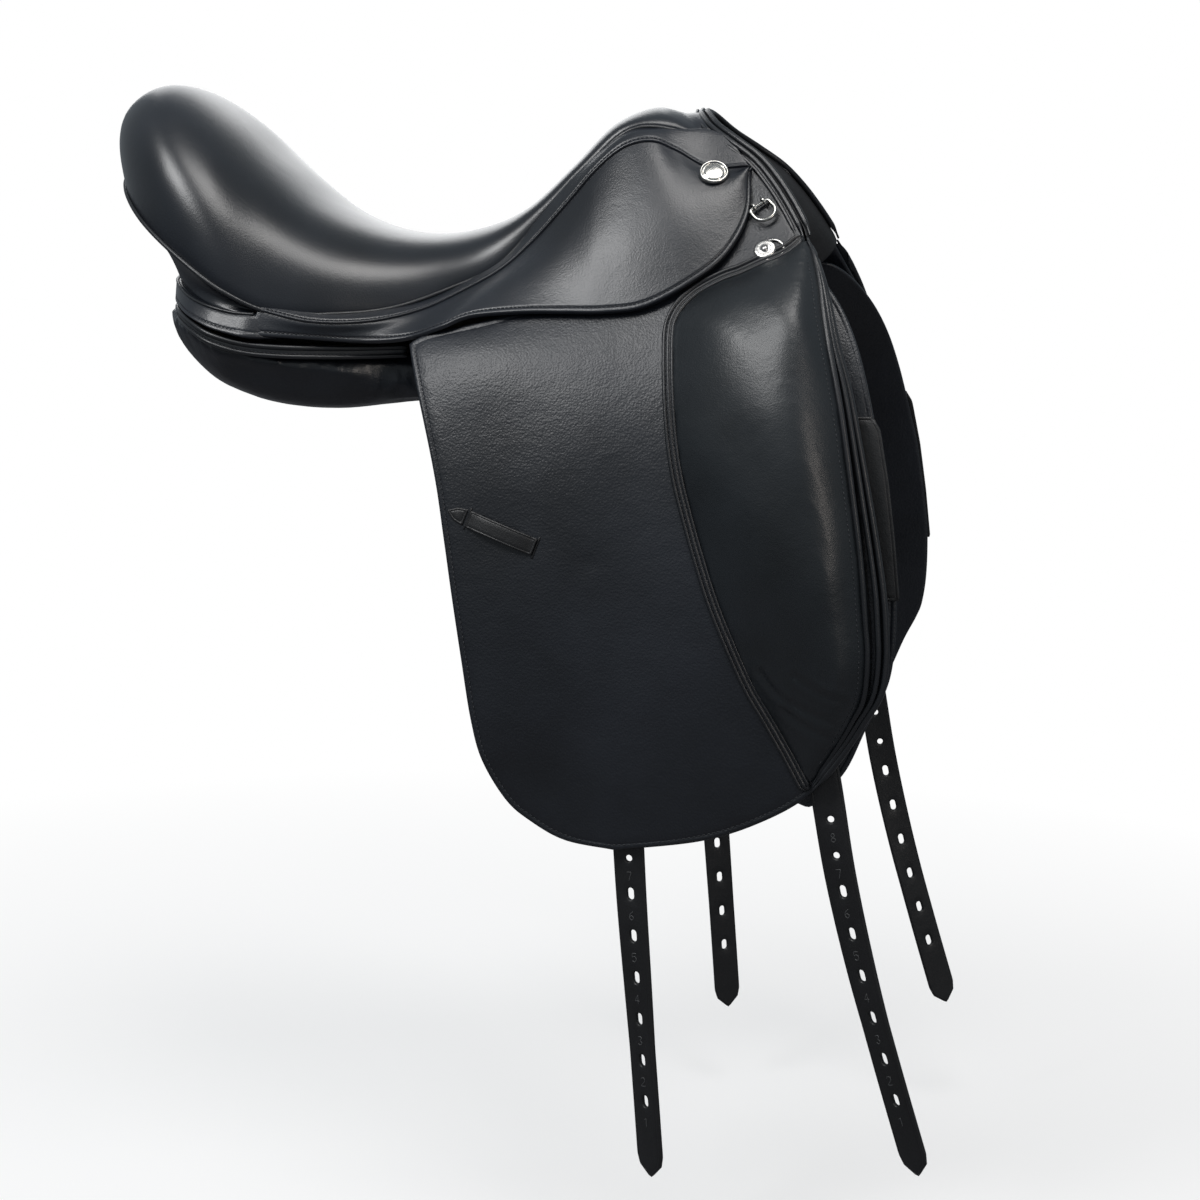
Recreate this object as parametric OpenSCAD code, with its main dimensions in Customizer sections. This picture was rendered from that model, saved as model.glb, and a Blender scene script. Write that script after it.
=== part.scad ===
// Dressage saddle, near-symmetric about the plane Y = 0.
// +X points to the pommel, +Y to the near (left) side, +Z up. The origin is on the centre plane,
// under the deepest point of the seat, at the level where the panels rest on the back.

/* [Seat] */
// Length from the skirt nail to the middle of the cantle
seat_length = 445; // [425:5:465]
// Height of the deepest point of the seat above the resting level
seat_height = 134; // [128:1:140]
// Thickness of the leather seat cover
cover_t = 2.4; // [1.6:0.2:3]
// Thickness of the foam under the cover
foam_t = 11; // [8:1:12]
// Radius of the piped welt round the seat
welt_r = 2.6; // [2:0.2:3]
// Fullness of the seat's cross-section, where 2 is an ellipse
seat_fullness = 2.3; // [2:0.1:2.8]

/* [Flap] */
// Length of the flap below its fold line
flap_drop = 375; // [360:5:385]
// Thickness of the flap leather
flap_t = 4.5; // [3.5:0.5:5]
// How far the flap spreads sideways below its fold line
flap_spread = 68; // [55:1:80]
// Height of the knee block above the flap
block_h = 40; // [25:1:45]
// Thickness of the sweat flap leather
sweat_t = 3.5; // [3:0.5:4]

/* [Skirt] */
// Thickness of the skirt leather
skirt_t = 3; // [2:0.5:3.5]
// Radius of the round nail head in the skirt
badge_r = 11; // [9:0.5:12]

/* [Girth straps] */
// Width of a girth strap
strap_w = 23; // [20:1:25]
// Thickness of a girth strap
strap_t = 4; // [3:0.5:4]
// Distance from one slotted hole to the next
hole_pitch = 31; // [28:0.5:34]
// Radius of the round holes and half the width of the slotted ones
hole_r = 2.4; // [2:0.1:3]
// Length of the slotted holes, end to end
slot_len = 9; // [8:0.5:12]
// Turn of a strap below the flap, in degrees
strap_twist = 30; // [0:1:40]

/* [Stirrup bar] */
// Length of the bar's tongue
bar_len = 74; // [60:1:80]
// Height of the bar's tongue
bar_h = 13; // [10:1:14]
// Thickness of the bar's tongue
bar_t = 6; // [5:0.5:7]
// Radius of the catch's pivot pin
catch_pin_r = 1.6; // [1.2:0.1:2]

/* [Dee rings and nails] */
// Wire radius of a dee ring
dee_wire = 1.3; // [1:0.1:1.5]
// Inside width of a dee ring
dee_w = 16; // [14:1:20]
// Radius of the nail head at the point
nail_r = 10; // [8:0.5:11]

/* [Hidden] */
LEATHER = [0.09, 0.095, 0.105];
SOFT = [0.12, 0.12, 0.13];
STEEL = [0.75, 0.75, 0.77];
WOOD = [0.72, 0.55, 0.36];
WEB = [0.85, 0.82, 0.72];
kx = seat_length / 445;
dz = seat_height - 134;

// ---------- curves and grids ----------

function knot(p, i) = i < 0 ? 2 * p[0] - p[1]
    : i >= len(p) ? 2 * p[len(p) - 1] - p[len(p) - 2]
    : p[i];

// A smooth curve through the points p, at t from 0 to 1
function curve(p, t) = let(
        n = len(p) - 1, s = min(max(t * n, 0), n), i = min(floor(s), n - 1), f = s - i,
        a = knot(p, i - 1), b = p[i], c = p[i + 1], d = knot(p, i + 2))
    b + 0.5 * f * (c - a + f * (2 * a - 5 * b + 4 * c - d + f * (3 * (b - c) + d - a)));

function steps(a, b, n) = [for (i = [0:n]) a + (b - a) * i / n];
function mirrored(p) = [p.x, -p.y, p.z];
function unit(v) = v / norm(v);

// A point as a curve over x in a table of [x, ...] rows
function along(table, x) = let(
        i = max(0, min(len(table) - 2, len([for (r = table) if (r[0] < x) 1]) - 1)),
        f = min(max((x - table[i][0]) / (table[i + 1][0] - table[i][0]), 0), 1),
        g = f * f * (3 - 2 * f))
    table[i] * (1 - g) + table[i + 1] * g;

function boxed(r, c) = [for (i = [0:r - 2], j = [0:c - 2]) each let(k = i * c + j)
    [[k, k + c, k + c + 1], [k, k + c + 1, k + 1]]];
function rim(r, c) = concat([for (j = [0:c - 2]) j], [for (i = [0:r - 2]) i * c + c - 1],
    [for (j = [c - 1:-1:1]) (r - 1) * c + j], [for (i = [r - 1:-1:1]) i * c]);
function turned(faces) = [for (f = faces) [for (i = [len(f) - 1:-1:0]) f[i]]];

// The solid between two grids of points: the outer face and the inner face
module plate(outer, inner, flip = false) {
    r = len(outer);
    c = len(outer[0]);
    n = r * c;
    e = rim(r, c);
    m = len(e);
    skin = boxed(r, c);
    sides = [for (i = [0:m - 1]) each let(a = e[i], b = e[(i + 1) % m])
        [[a, b, b + n], [a, b + n, a + n]]];
    faces = concat(skin, turned([for (f = skin) f + [n, n, n]]), sides);
    polyhedron(concat([for (q = outer) each q], [for (q = inner) each q]),
        flip ? turned(faces) : faces);
}

// A closed tube through rings of points, capped at both ends, or joined end to end
module loft(rings, joined = false, flip = false) {
    r = len(rings);
    c = len(rings[0]);
    last = joined ? r - 1 : r - 2;
    walls = [for (i = [0:last], j = [0:c - 1]) each let(
            a = i * c + j, b = i * c + (j + 1) % c, d = ((i + 1) % r) * c + j, e = ((i + 1) % r) * c + (j + 1) % c)
        [[a, b, e], [a, e, d]]];
    caps = joined ? [] : [[for (j = [c - 1:-1:0]) j], [for (j = [0:c - 1]) (r - 1) * c + j]];
    faces = concat(walls, caps);
    polyhedron([for (q = rings) each q], flip ? turned(faces) : faces);
}

// A round cord of radius r through the points of a path
module cord(path, r, sides = 6) {
    n = len(path);
    rings = [for (i = [0:n - 1]) let(
            d = unit(path[min(i + 1, n - 1)] - path[max(i - 1, 0)]),
            a = unit(cross(abs(d.z) > 0.9 ? [1, 0, 0] : [0, 0, 1], d)), b = cross(d, a))
        [for (k = [0:sides - 1]) path[i] + r * (cos(360 * k / sides) * a + sin(360 * k / sides) * b)]];
    loft(rings, flip = true);
}

module both() {
    children();
    mirror([0, 1, 0]) children();
}

module left() {
    mirror([0, 1, 0]) children();
}

// Children turned so that +Z points along n, with +X level, at the point p
module facing(p, n) {
    x = unit(cross([0, 0, 1], n));
    y = cross(n, x);
    multmatrix([[x.x, y.x, n.x, p.x], [x.y, y.y, n.y, p.y], [x.z, y.z, n.z, p.z], [0, 0, 0, 1]]) children();
}

// ---------- the seat's shape ----------

// Centre line of the seat, from the welt behind the cantle, over it and forward to the pommel
SPINE = [for (p = [[-241, 188], [-247, 214], [-238, 236], [-215, 249], [-190, 246], [-158, 226], [-120, 191],
        [-80, 159], [-40, 141], [0, 134], [40, 138], [80, 153], [116, 184], [146, 214], [175, 227], [198, 223]])
    [kx * p[0], 0, p[1] + dz]];
// The welt, from behind the cantle round the right side to the pommel
WELT = [for (p = [[-243, 0, 186], [-238, -42, 180], [-222, -80, 165], [-196, -110, 143], [-160, -131, 117],
        [-124, -138, 93], [-88, -130, 77], [-48, -117, 76], [-8, -99, 80], [32, -82, 94], [70, -71, 113],
        [104, -64, 151], [136, -60, 185], [166, -56, 210], [200, -52, 209], [234, -46, 194]])
    [kx * p.x, p.y, p.z + dz]];

// The seat's surface at depth t: u runs from cantle to pommel, v from the left welt (-1) to the right one (1)
function seat(u, v, t = 0) = let(
        s0 = curve(SPINE, u), w0 = curve(WELT, u),
        g = unit(curve(SPINE, u + 0.01) - curve(SPINE, u - 0.01)),
        s = s0 + t * [g.z, 0, -g.x],
        w = w0 + t * [0.55 * g.z, 0.8, -0.55 * abs(g.x)],
        a = 90 * abs(v), e = 2 / seat_fullness,
        side = pow(sin(a), e), drop = 1 - pow(cos(a), e))
    [s.x + (w.x - s.x) * drop, (v > 0 ? 1 : -1) * w.y * side, s.z + (w.z - s.z) * drop];

function seat_grid(t, u0, u1, v0, v1, nu, nv) =
    [for (u = steps(u0, u1, nu)) [for (v = steps(v0, v1, nv)) seat(u, v, t)]];

module seat_layer(t0, t1, u0, u1, v, nu = 20, nv = 12)
    plate(seat_grid(t0, u0, u1, -v, v, nu, nv), seat_grid(t1, u0, u1, -v, v, nu, nv));

web_t = foam_t + cover_t + 1.2;
tree_top = web_t + 3;
tree_bottom = tree_top + 11;

module seat_cover() color(LEATHER) seat_layer(0, cover_t, 0.012, 1, 1, 26, 16);
module seat_foam() color([0.9, 0.85, 0.6])
    seat_layer(cover_t + 1.3, cover_t + foam_t - 2.6, 0.06, 0.95, 0.88);
module strainer_webbing() color(WEB)
    seat_layer(web_t - 2.1, web_t - 0.8, 0.3, 0.84, 0.5, 14, 6);

// The tree is one closed frame: two rails, the cantle behind and the bridge in front
TREE_N = 44;
function tree_place(a, wide) = let(
        x = cos(a), y = sin(a), k = pow(pow(abs(x), 6) + pow(abs(y), 6), -1 / 6))
    wide ? [0.5 - 0.4 * x * k, 0.9 * y * k] : [0.54 - 0.26 * x * k, 0.46 * y * k];
function tree_ring(i) = let(o = tree_place(360 * i / TREE_N, true), q = tree_place(360 * i / TREE_N, false))
    [seat(o[0], o[1], tree_top), seat(q[0], q[1], tree_top),
        seat(q[0], q[1], tree_bottom), seat(o[0], o[1], tree_bottom)];
module tree_frame() color(WOOD)
    loft([for (i = [0:TREE_N - 1]) tree_ring(i)], joined = true, flip = true);

// Sprung steel strips laid under the two rails
function steel_row(i, off) = let(r = tree_ring(i), d = unit(r[2] - r[1]))
    [for (f = [0.32, 0.68]) r[2] + (r[3] - r[2]) * f + off * d];
module spring_steels() color(STEEL) both()
    plate([for (i = [7:15]) steel_row(i, 5.2)], [for (i = [7:15]) steel_row(i, 6.8)], flip = true);

module seat_welt() color(LEATHER) {
    half = [for (u = steps(0.004, 1, 36)) curve(WELT, u) + [0, -1.6, -3.9]];
    cord(concat([for (i = [36:-1:0]) mirrored(half[i])], half), welt_r);
}

// ---------- the flap's shape ----------

// The fold line of the flap runs along the hinge, from the rear corner to the front
HINGE = [13, -125, 54];
HINGE_TILT = atan(46 / 310);
ALONG = [cos(HINGE_TILT), 0, sin(HINGE_TILT)];
DOWN = [sin(HINGE_TILT), 0, -cos(HINGE_TILT)];
SPREAD_L = 95;
slope = flap_spread / SPREAD_L;

function bow(d) = d > 0 ? flap_spread * (1 - exp(-d / SPREAD_L)) : slope * d;
function out_dir(d) = let(k = d > 0 ? slope * exp(-d / SPREAD_L) : slope) unit([0, -1, 0] - k * DOWN);

// A point on the flap: s along the fold line, d down from it, and off outwards from the face
function side(s, d, off = 0) = HINGE + s * ALONG + d * DOWN + [0, -bow(d), 0] + off * out_dir(d);

// A piece cut from the side's shape: its rear and front edges are curves of [s, d] from top to bottom
module side_piece(rear, front, off0, off1, rows = 14, cols = 8) {
    function edge(t, k, off) = let(a = curve(rear, t), b = curve(front, t), q = a + (b - a) * k)
        side(q[0], q[1], off);
    plate([for (t = steps(0, 1, rows)) [for (k = steps(0, 1, cols)) edge(t, k, off1)]],
        [for (t = steps(0, 1, rows)) [for (k = steps(0, 1, cols)) edge(t, k, off0)]], flip = true);
}

kf = flap_drop / 375;
FLAP_REAR = [[1, 0.3], [12, 56], [18, 100], [20, 142], [21, 185], [22, 228], [23, 271], [27, 301], [40, 331],
    [55, 348], [79, 365], [115, 375]];
FLAP_FRONT = [[313, 0.3], [321, 49], [325, 97], [327, 140], [326, 191], [320, 240], [310, 279], [295, 309],
    [265, 345], [228, 363], [180, 374], [117, 376]];

module flap_sheet() side_piece([for (p = FLAP_REAR) [p[0], p[1] * kf]], [for (p = FLAP_FRONT) [p[0], p[1] * kf]],
    -flap_t, 0, 20, 8);

// The stirrup leather keeper is threaded through two slots, and stands off the flap between them
KEEPER_REAR = [43, 131];
KEEPER_FRONT = [83, 153];

module flap_right() color(LEATHER) flap_sheet();

module keeper_right() {
    run = KEEPER_FRONT - KEEPER_REAR;
    across = unit([-run[1], run[0]]);
    function band(k, w, off) = let(q = KEEPER_REAR + (KEEPER_FRONT - KEEPER_REAR) * k + across * w)
        side(q[0], q[1], off);
    function lift(k) = 0.4 + 7 * pow(max(0, sin(180 * min(max(k, 0), 1))), 0.6);
    color(LEATHER) plate([for (k = steps(-0.1, 1.1, 12)) [for (w = [-6.5, 6.5]) band(k, w, lift(k) + 2)]],
        [for (k = steps(-0.1, 1.1, 12)) [for (w = [-6.5, 6.5]) band(k, w, lift(k))]]);
}

// The knee block: a tall crowned pad, steep at its rear seam and falling away to the front edge
BLOCK_REAR = [[211, 4], [199, 20], [195, 46], [194, 86], [196, 121], [204, 174], [217, 235], [238, 293], [261, 344]];
BLOCK_FRONT = [[311, 5], [317, 30], [321, 60], [323, 97], [324, 138], [323, 191], [316, 246], [298, 297], [264, 346]];

function block_rise(t, k) = block_h * pow(max(0, sin(180 * pow(t, 0.85))), 0.45) * pow(max(0, sin(180 * pow(k, 0.8))), 0.6);
module block_shell(rise, base, grow, rows = 16, cols = 8) {
    function p(t, k, off) = let(a = curve(BLOCK_REAR, t), b = curve(BLOCK_FRONT, t), q = a + (b - a) * k)
        side(q[0], q[1] * kf, off);
    plate([for (t = steps(grow, 1 - grow, rows)) [for (k = steps(grow, 1 - grow, cols)) p(t, k, base + 1 + rise * block_rise(t, k) / block_h)]],
        [for (t = steps(grow, 1 - grow, rows)) [for (k = steps(grow, 1 - grow, cols)) p(t, k, base)]], flip = true);
}
module block_foam_right() color([0.9, 0.85, 0.6]) block_shell(block_h - 14, 0.3, 0.1);
module knee_block_right() color(SOFT) difference() {
    block_shell(block_h, 0.2, 0);
    block_shell(block_h - 4.6, -1, 0.05);
}

// The upper part of the flap, nailed to the tree, with a recess round the stirrup bar: rows of [s, top]
HEAD_TOP = [[12, -1.6], [32, -5], [56, -8], [76, -11], [100, -12], [180, -12], [200, -22], [212, -70], [230, -88],
    [246, -92], [257, -87], [268, -72], [278, -54], [288, -36], [298, -18], [306, -4]];
module flap_head_right() {
    rows = [for (k = steps(0, 1, 20)) curve(HEAD_TOP, k)];
    function p(q, k, off) = side(q[0], -0.3 + (q[1] + 0.3) * k, off);
    color(LEATHER) plate([for (q = rows) [for (k = steps(0, 1, 3)) p(q, k, 0)]],
        [for (q = rows) [for (k = steps(0, 1, 3)) p(q, k, -flap_t)]], flip = true);
}

// Sweat flap: hangs under the flap from the panel, a little longer at the front
SWEAT_REAR = [[30, 4], [32, 60], [36, 120], [42, 180], [54, 230], [80, 272], [130, 300], [180, 322], [225, 345],
    [250, 357]];
SWEAT_FRONT = [[320, 4], [330, 49], [334, 97], [337, 138], [337, 191], [331, 246], [322, 279], [306, 309],
    [280, 342], [253, 358]];
module sweat_flap_right() color(LEATHER)
    side_piece([for (p = SWEAT_REAR) [p[0], p[1] * kf]], [for (p = SWEAT_FRONT) [p[0], p[1] * kf]],
        -11.6 - sweat_t, -11.6, 16, 6);

// ---------- girth straps ----------

// A strap hangs along a line of [s, d, off] from its top end, between flap and sweat flap and below them
STRAP_OFF = -7.9;
PIN_T = 0.016;
pin_r = 2.5;
TIP_TO_SLOT = 58;
ROUND_PITCH = 26;
FRONT_LINE = [[250, -18], [254, 60], [259, 130], [263, 200], [266, 270], [269, 345], [271, 410], [277, 480],
    [286, 550], [298, 632]];
REAR_LINE = [[150, -18], [146, 60], [141, 130], [136, 200], [131, 270], [126, 345], [120, 415], [115, 485],
    [110, 555], [105, 622]];

function strap_path(line, t) = let(q = curve(line, t)) side(q[0], q[1], STRAP_OFF);
function strap_length(line, t, n = 60) = let(p = [for (k = steps(0, t, n)) strap_path(line, k)])
    [for (i = 0, sum = 0; i < n + 1; sum = sum + (i < n ? norm(p[i + 1] - p[i]) : 0), i = i + 1) sum][n];

// The frame of a strap at t: its middle, its direction, its width and its face, turned below the flap
function strap_frame(line, t) = let(
        p = strap_path(line, t), d = unit(strap_path(line, t + 0.01) - strap_path(line, t - 0.01)),
        f = unit(cross(cross(d, out_dir(curve(line, t)[1])), d)), w = cross(f, d),
        a = strap_twist * max(0, min(1, (t - 0.56) / 0.28)))
    [p, d, w * cos(a) + f * sin(a), f * cos(a) - w * sin(a)];

module strap(line) {
    n = 28;
    full = strap_length(line, 1);
    function ring(t) = let(
            q = strap_frame(line, t), taper = min(1, (1 - t) * full / 16 + 0.25) * (t < 0.02 ? 0.7 : 1),
            w = strap_w / 2 * taper, h = strap_t / 2)
        [q[0] - w * q[2] - h * q[3], q[0] + w * q[2] - h * q[3], q[0] + w * q[2] + h * q[3], q[0] - w * q[2] + h * q[3]];
    module place(t) {
        q = strap_frame(line, t);
        multmatrix([[q[2].x, q[1].x, q[3].x, q[0].x], [q[2].y, q[1].y, q[3].y, q[0].y], [q[2].z, q[1].z, q[3].z, q[0].z],
            [0, 0, 0, 1]]) children();
    }
    module hole(reach) {
        for (y = [-reach, reach]) translate([0, y, 0]) cylinder(h = strap_t * 3, r = hole_r, center = true, $fn = 32);
        if (reach > 0) cube([2 * hole_r, 2 * reach, strap_t * 3], center = true);
    }
    difference() {
        loft([for (t = concat(steps(0, 0.93, n), [0.965, 0.985, 1])) ring(t)], flip = false);
        for (i = [0:5]) place(1 - (TIP_TO_SLOT + i * hole_pitch) / full) hole(slot_len / 2 - hole_r);
        for (i = [1:2]) place(1 - (TIP_TO_SLOT + 5 * hole_pitch + i * ROUND_PITCH) / full) hole(0);
        strap_pin(line, pin_r + 0.08, -20, 40);
    }
}
module strap_front_right() color(LEATHER) strap(FRONT_LINE);
module strap_rear_right() color(LEATHER) strap(REAR_LINE);

// Webs come down from the tree and carry the straps on rivets
module strap_pin(line, r, y0, h) translate(strap_frame(line, PIN_T)[0] + [0, y0, 0])
    rotate([-90, 0, 0]) cylinder(h = h, r = r, $fn = 32);

module girth_webbing_right() color(WEB) difference() {
    for (s = [150, 250]) side_piece([[s - 15, -78], [s - 13, -4]], [[s + 15, -78], [s + 13, -4]], -12.2, -10.4, 6, 2);
    for (line = [FRONT_LINE, REAR_LINE]) strap_pin(line, pin_r + 0.08, -20, 40);
}

module strap_rivets() color(STEEL) both()
    for (line = [FRONT_LINE, REAR_LINE]) strap_pin(line, pin_r, -2.4, 9.6);

// ---------- skirts ----------

// The skirt runs from the welt (TOP) to its free edge (LOW), rear to front
SKIRT_TOP = [[-98, -131, 72], [-60, -120, 65], [-20, -103, 66], [15, -87, 74], [45, -75, 86], [75, -68, 105],
    [98, -63, 132], [120, -60, 159], [143, -57, 182], [164, -55, 196], [185, -54, 199], [205, -56, 195],
    [224, -60, 186], [238, -66, 177]];
SKIRT_LOW = [[-104, -139, 59], [-68, -130, 56], [-30, -120, 54], [8, -121, 57], [38, -127, 66], [60, -123, 76],
    [98, -124.5, 80], [132, -128, 79], [160, -131, 79], [190, -131.5, 82], [220, -124, 97], [244, -113, 115],
    [257, -97, 142], [252, -84, 170]];
// The skirt folds along the straight line from its fifth station to its front corner
FOLD = [SKIRT_LOW[5], SKIRT_LOW[13]];
FOLD_AT = 5 / 13;
function fold_line(u) = FOLD[0] + (FOLD[1] - FOLD[0]) * max(0, (u - FOLD_AT) / (1 - FOLD_AT));
function skirt_out(u) = unit(cross(curve(SKIRT_LOW, u) - curve(SKIRT_TOP, u),
    curve(SKIRT_TOP, u + 0.02) - curve(SKIRT_TOP, u - 0.02)));
FOLD_OUT = unit(cross([0, -0.75, -1], FOLD[1] - FOLD[0]));

module skirt_sheet(a, b, u0, u1, bulge, rows = 20, cols = 4, out = false) {
    function p(u, k, off) = let(n = out ? FOLD_OUT : skirt_out(u), q = a(u), w = b(u))
        q + (w - q) * k + (off + bulge * sin(180 * k)) * n;
    plate([for (u = steps(u0, u1, rows)) [for (k = steps(0, 1, cols)) p(u, k, 0)]],
        [for (u = steps(u0, u1, rows)) [for (k = steps(0, 1, cols)) p(u, k, -skirt_t)]]);
}
fold_down = [0.15, -0.7, -1];

module skirt_top_right() color(LEATHER) difference() {
    skirt_sheet(function(u) curve(SKIRT_TOP, u),
        function(u) u < FOLD_AT ? curve(SKIRT_LOW, u) : fold_line(u) - fold_down, 0, 1, 2);
    facing(BADGE, BADGE_OUT) cylinder(h = 20, r = 1.7, center = true, $fn = 32);
}
module skirt_flap_right() color(LEATHER)
    skirt_sheet(function(u) fold_line(u) + fold_down, function(u) curve(SKIRT_LOW, u) + fold_down,
        FOLD_AT + 0.015, 0.985, 1.5, 16, 3, out = true);

// Round nail heads that hold the front corners of the skirts
BADGE = [230, -75, 174];
BADGE_OUT = unit([0.14, -0.74, 0.64]);
module skirt_badges() color(STEEL) both() facing(BADGE, BADGE_OUT) {
    translate([0, 0, 3.4]) cylinder(h = 1.4, r = badge_r - 1.6, $fn = 64);
    translate([0, 0, -6]) cylinder(h = 9.5, r = 1.35, $fn = 32);
    translate([0, 0, 3.4]) rotate_extrude($fn = 64) translate([badge_r - 1.2, 0]) square([1.2, 2.2]);
}

// ---------- cantle and pommel ----------

FACE_LOW = [[-213, 0, 105], [-211, -24, 104], [-205, -48, 102], [-195, -74, 99], [-181, -100, 95],
    [-163, -120, 88], [-142, -131, 80], [-120, -134, 75], [-102, -134, 74]];
BAND_LOW = [[-207, 0, 89], [-205, -26, 88], [-199, -52, 87], [-190, -80, 86], [-176, -108, 85],
    [-158, -130, 80], [-139, -139, 71], [-122, -140, 64], [-107, -139.5, 59]];

// The back of the cantle, from the welt down to the band
module cantle_facing() {
    function p(a, k, off) = let(e = min(1, 6 * abs(a)), q = curve(WELT, abs(a) * 0.3) + [1, 4 * e, -8],
            w = curve(FACE_LOW, abs(a) * 0.8) + [2, 3 * e, 1.5], m = q + (w - q) * k, h = 5 * sin(180 * k) + off,
            n = unit([1.4 * (1 - abs(a)) + 0.1, 0.2 + abs(a), 0]))
        [m.x + h * n.x, (a < 0 ? -1 : 1) * (m.y + h * n.y * e), m.z];
    color(LEATHER) plate([for (a = steps(-1, 1, 24)) [for (k = steps(0, 1, 4)) p(a, k, 0)]],
        [for (a = steps(-1, 1, 24)) [for (k = steps(0, 1, 4)) p(a, k, 2.4)]], flip = true);
}

// The band sewn round the back of the tree under the cantle
module cantle_band() {
    function p(a, k, off) = let(q = curve(FACE_LOW, abs(a)), w = curve(BAND_LOW, abs(a)), m = q + (w - q) * k,
            n = unit([1.4 * (1 - abs(a)) + 0.1, 0.2 + abs(a), 0]), d = off - 1.5 * sin(180 * k))
        [m.x + d * n.x, (a < 0 ? -1 : 1) * min(0, m.y + d * n.y * min(1, abs(a) * 6)), m.z];
    color(LEATHER) plate([for (a = steps(-1, 1, 24)) [for (k = steps(0, 1, 2)) p(a, k, 0)]],
        [for (a = steps(-1, 1, 24)) [for (k = steps(0, 1, 2)) p(a, k, 3)]], flip = true);
}

// The arch of leather in front of the seat, from one flap's front corner over the pommel to the other
ARCH = [[214, 0, 224], [217, -18, 222], [228, -42, 211], [244, -57, 199], [261, -66, 187], [274, -76, 172],
    [287, -85, 154], [300, -95, 136], [312, -105, 117], [322, -112, 102]];
module pommel_facing() {
    function p(a, k, off) = let(q = curve(ARCH, abs(a)), in = [-0.35, 0.8, -0.45])
        [q.x + 13 * k * in.x + off, (a < 0 ? -1 : 1) * min(0, q.y + 13 * k * in.y * min(1, abs(a) * 5)),
            q.z - 13 * k * (0.5 + 0.5 * (1 - min(1, abs(a) * 3)))];
    color(LEATHER) plate([for (a = steps(-1, 1, 24)) [for (k = steps(0, 1, 2)) p(a, k, 3.4)]],
        [for (a = steps(-1, 1, 24)) [for (k = steps(0, 1, 2)) p(a, k, 0)]], flip = true);
}

// ---------- the tree's front and the stirrup bars ----------

// Local frame on the sloping side above the fold line: +X forward, +Y up the slope, +Z outwards
module on_side(s, d) {
    z = out_dir(-1);
    y = cross(z, ALONG);
    p = side(s, d);
    multmatrix([[ALONG.x, y.x, z.x, p.x], [ALONG.y, y.y, z.y, p.y], [ALONG.z, y.z, z.z, p.z], [0, 0, 0, 1]]) children();
}

BAR_AT = [142, -30];
RIVETS = [[-30, 9], [0, 9], [26, 9]];
CATCH_PIN = [-33, 0];
module bar_holes(r) for (q = RIVETS) translate([q[0], q[1], 0]) cylinder(h = 90, r = r, center = true, $fn = 32);

module tree_point_right() color(WOOD) difference() {
    side_piece([[96, -50], [98, -40], [104, -22], [130, -12], [216, -10], [236, 22], [250, 56]],
        [[250, -80], [262, -72], [270, -56], [276, -30], [276, 0], [272, 30], [264, 58]], -28, -20, 12, 5);
    on_side(BAR_AT[0], BAR_AT[1]) bar_holes(2.6);
}

module head_arch() color(WOOD) {
    half = [for (p = [[248, -41, 168], [243, -31, 178], [237, -16, 186], [234, 0, 188]]) p];
    path = concat([for (t = steps(1, 0.1, 9)) mirrored(curve(half, 1 - t))], [half[3]],
        [for (t = steps(0.1, 1, 9)) curve(half, 1 - t)]);
    loft([for (p = path) [p + [-6, 0, -4], p + [6, 0, -4], p + [6, 0, 4], p + [-6, 0, 4]]]);
}

module gullet_plate() color(STEEL) {
    half = [for (p = [[248, -41, 160.5], [243, -31, 170.5], [237, -16, 178.5], [234, 0, 180.5]]) p];
    path = concat([for (t = steps(1, 0.1, 9)) mirrored(curve(half, 1 - t))], [half[3]],
        [for (t = steps(0.1, 1, 9)) curve(half, 1 - t)]);
    loft([for (p = path) [p + [-12, 0, 0], p + [12, 0, 0], p + [12, 0, 2.2], p + [-12, 0, 2.2]]]);
}

module stirrup_bar_right() color(STEEL) on_side(BAR_AT[0], BAR_AT[1]) {
    difference() {
        union() {
            translate([-42, -10, -19.4]) cube([84, 26, 3]);
            translate([bar_len / 2 - 6, -bar_h / 2, -17]) cube([10, bar_h, 14]);
            translate([-bar_len / 2, -bar_h / 2, -3 - bar_t]) cube([bar_len + 4, bar_h, bar_t]);
        }
        bar_holes(2.6);
        translate([CATCH_PIN[0], CATCH_PIN[1], -12]) cylinder(h = 20, r = catch_pin_r + 0.08, $fn = 32);
    }
}

module bar_catch_right() color(STEEL) on_side(BAR_AT[0], BAR_AT[1])
    translate([CATCH_PIN[0], CATCH_PIN[1], -3 - bar_t - 4.1]) difference() {
        union() {
            cylinder(h = 3.8, r = 5, $fn = 48);
            translate([-22, -4.5, 0]) cube([22, 9, 3.8]);
            translate([-22, -4.5, 0]) cube([4, 9, 9]);
        }
        translate([0, 0, -1]) cylinder(h = 8, r = catch_pin_r + 0.08, $fn = 32);
    }

module catch_pins() color(STEEL) both() on_side(BAR_AT[0], BAR_AT[1])
    translate([CATCH_PIN[0], CATCH_PIN[1], -3 - bar_t - 4.6]) {
        cylinder(h = bar_t + 4.8, r = catch_pin_r, $fn = 32);
        translate([0, 0, -0.8]) cylinder(h = 0.8, r = catch_pin_r + 1, $fn = 32);
    }

module bar_rivets() color(STEEL) both() on_side(BAR_AT[0], BAR_AT[1])
    for (q = RIVETS) translate([q[0], q[1], 0]) {
        translate([0, 0, -29.4]) cylinder(h = 14, r = 2.4, $fn = 32);
        translate([0, 0, -16.3]) cylinder(h = 1.6, r = 4, $fn = 32);
        translate([0, 0, -29.8]) cylinder(h = 1.4, r = 4, $fn = 32);
    }

// ---------- dee rings and point nails ----------

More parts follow.
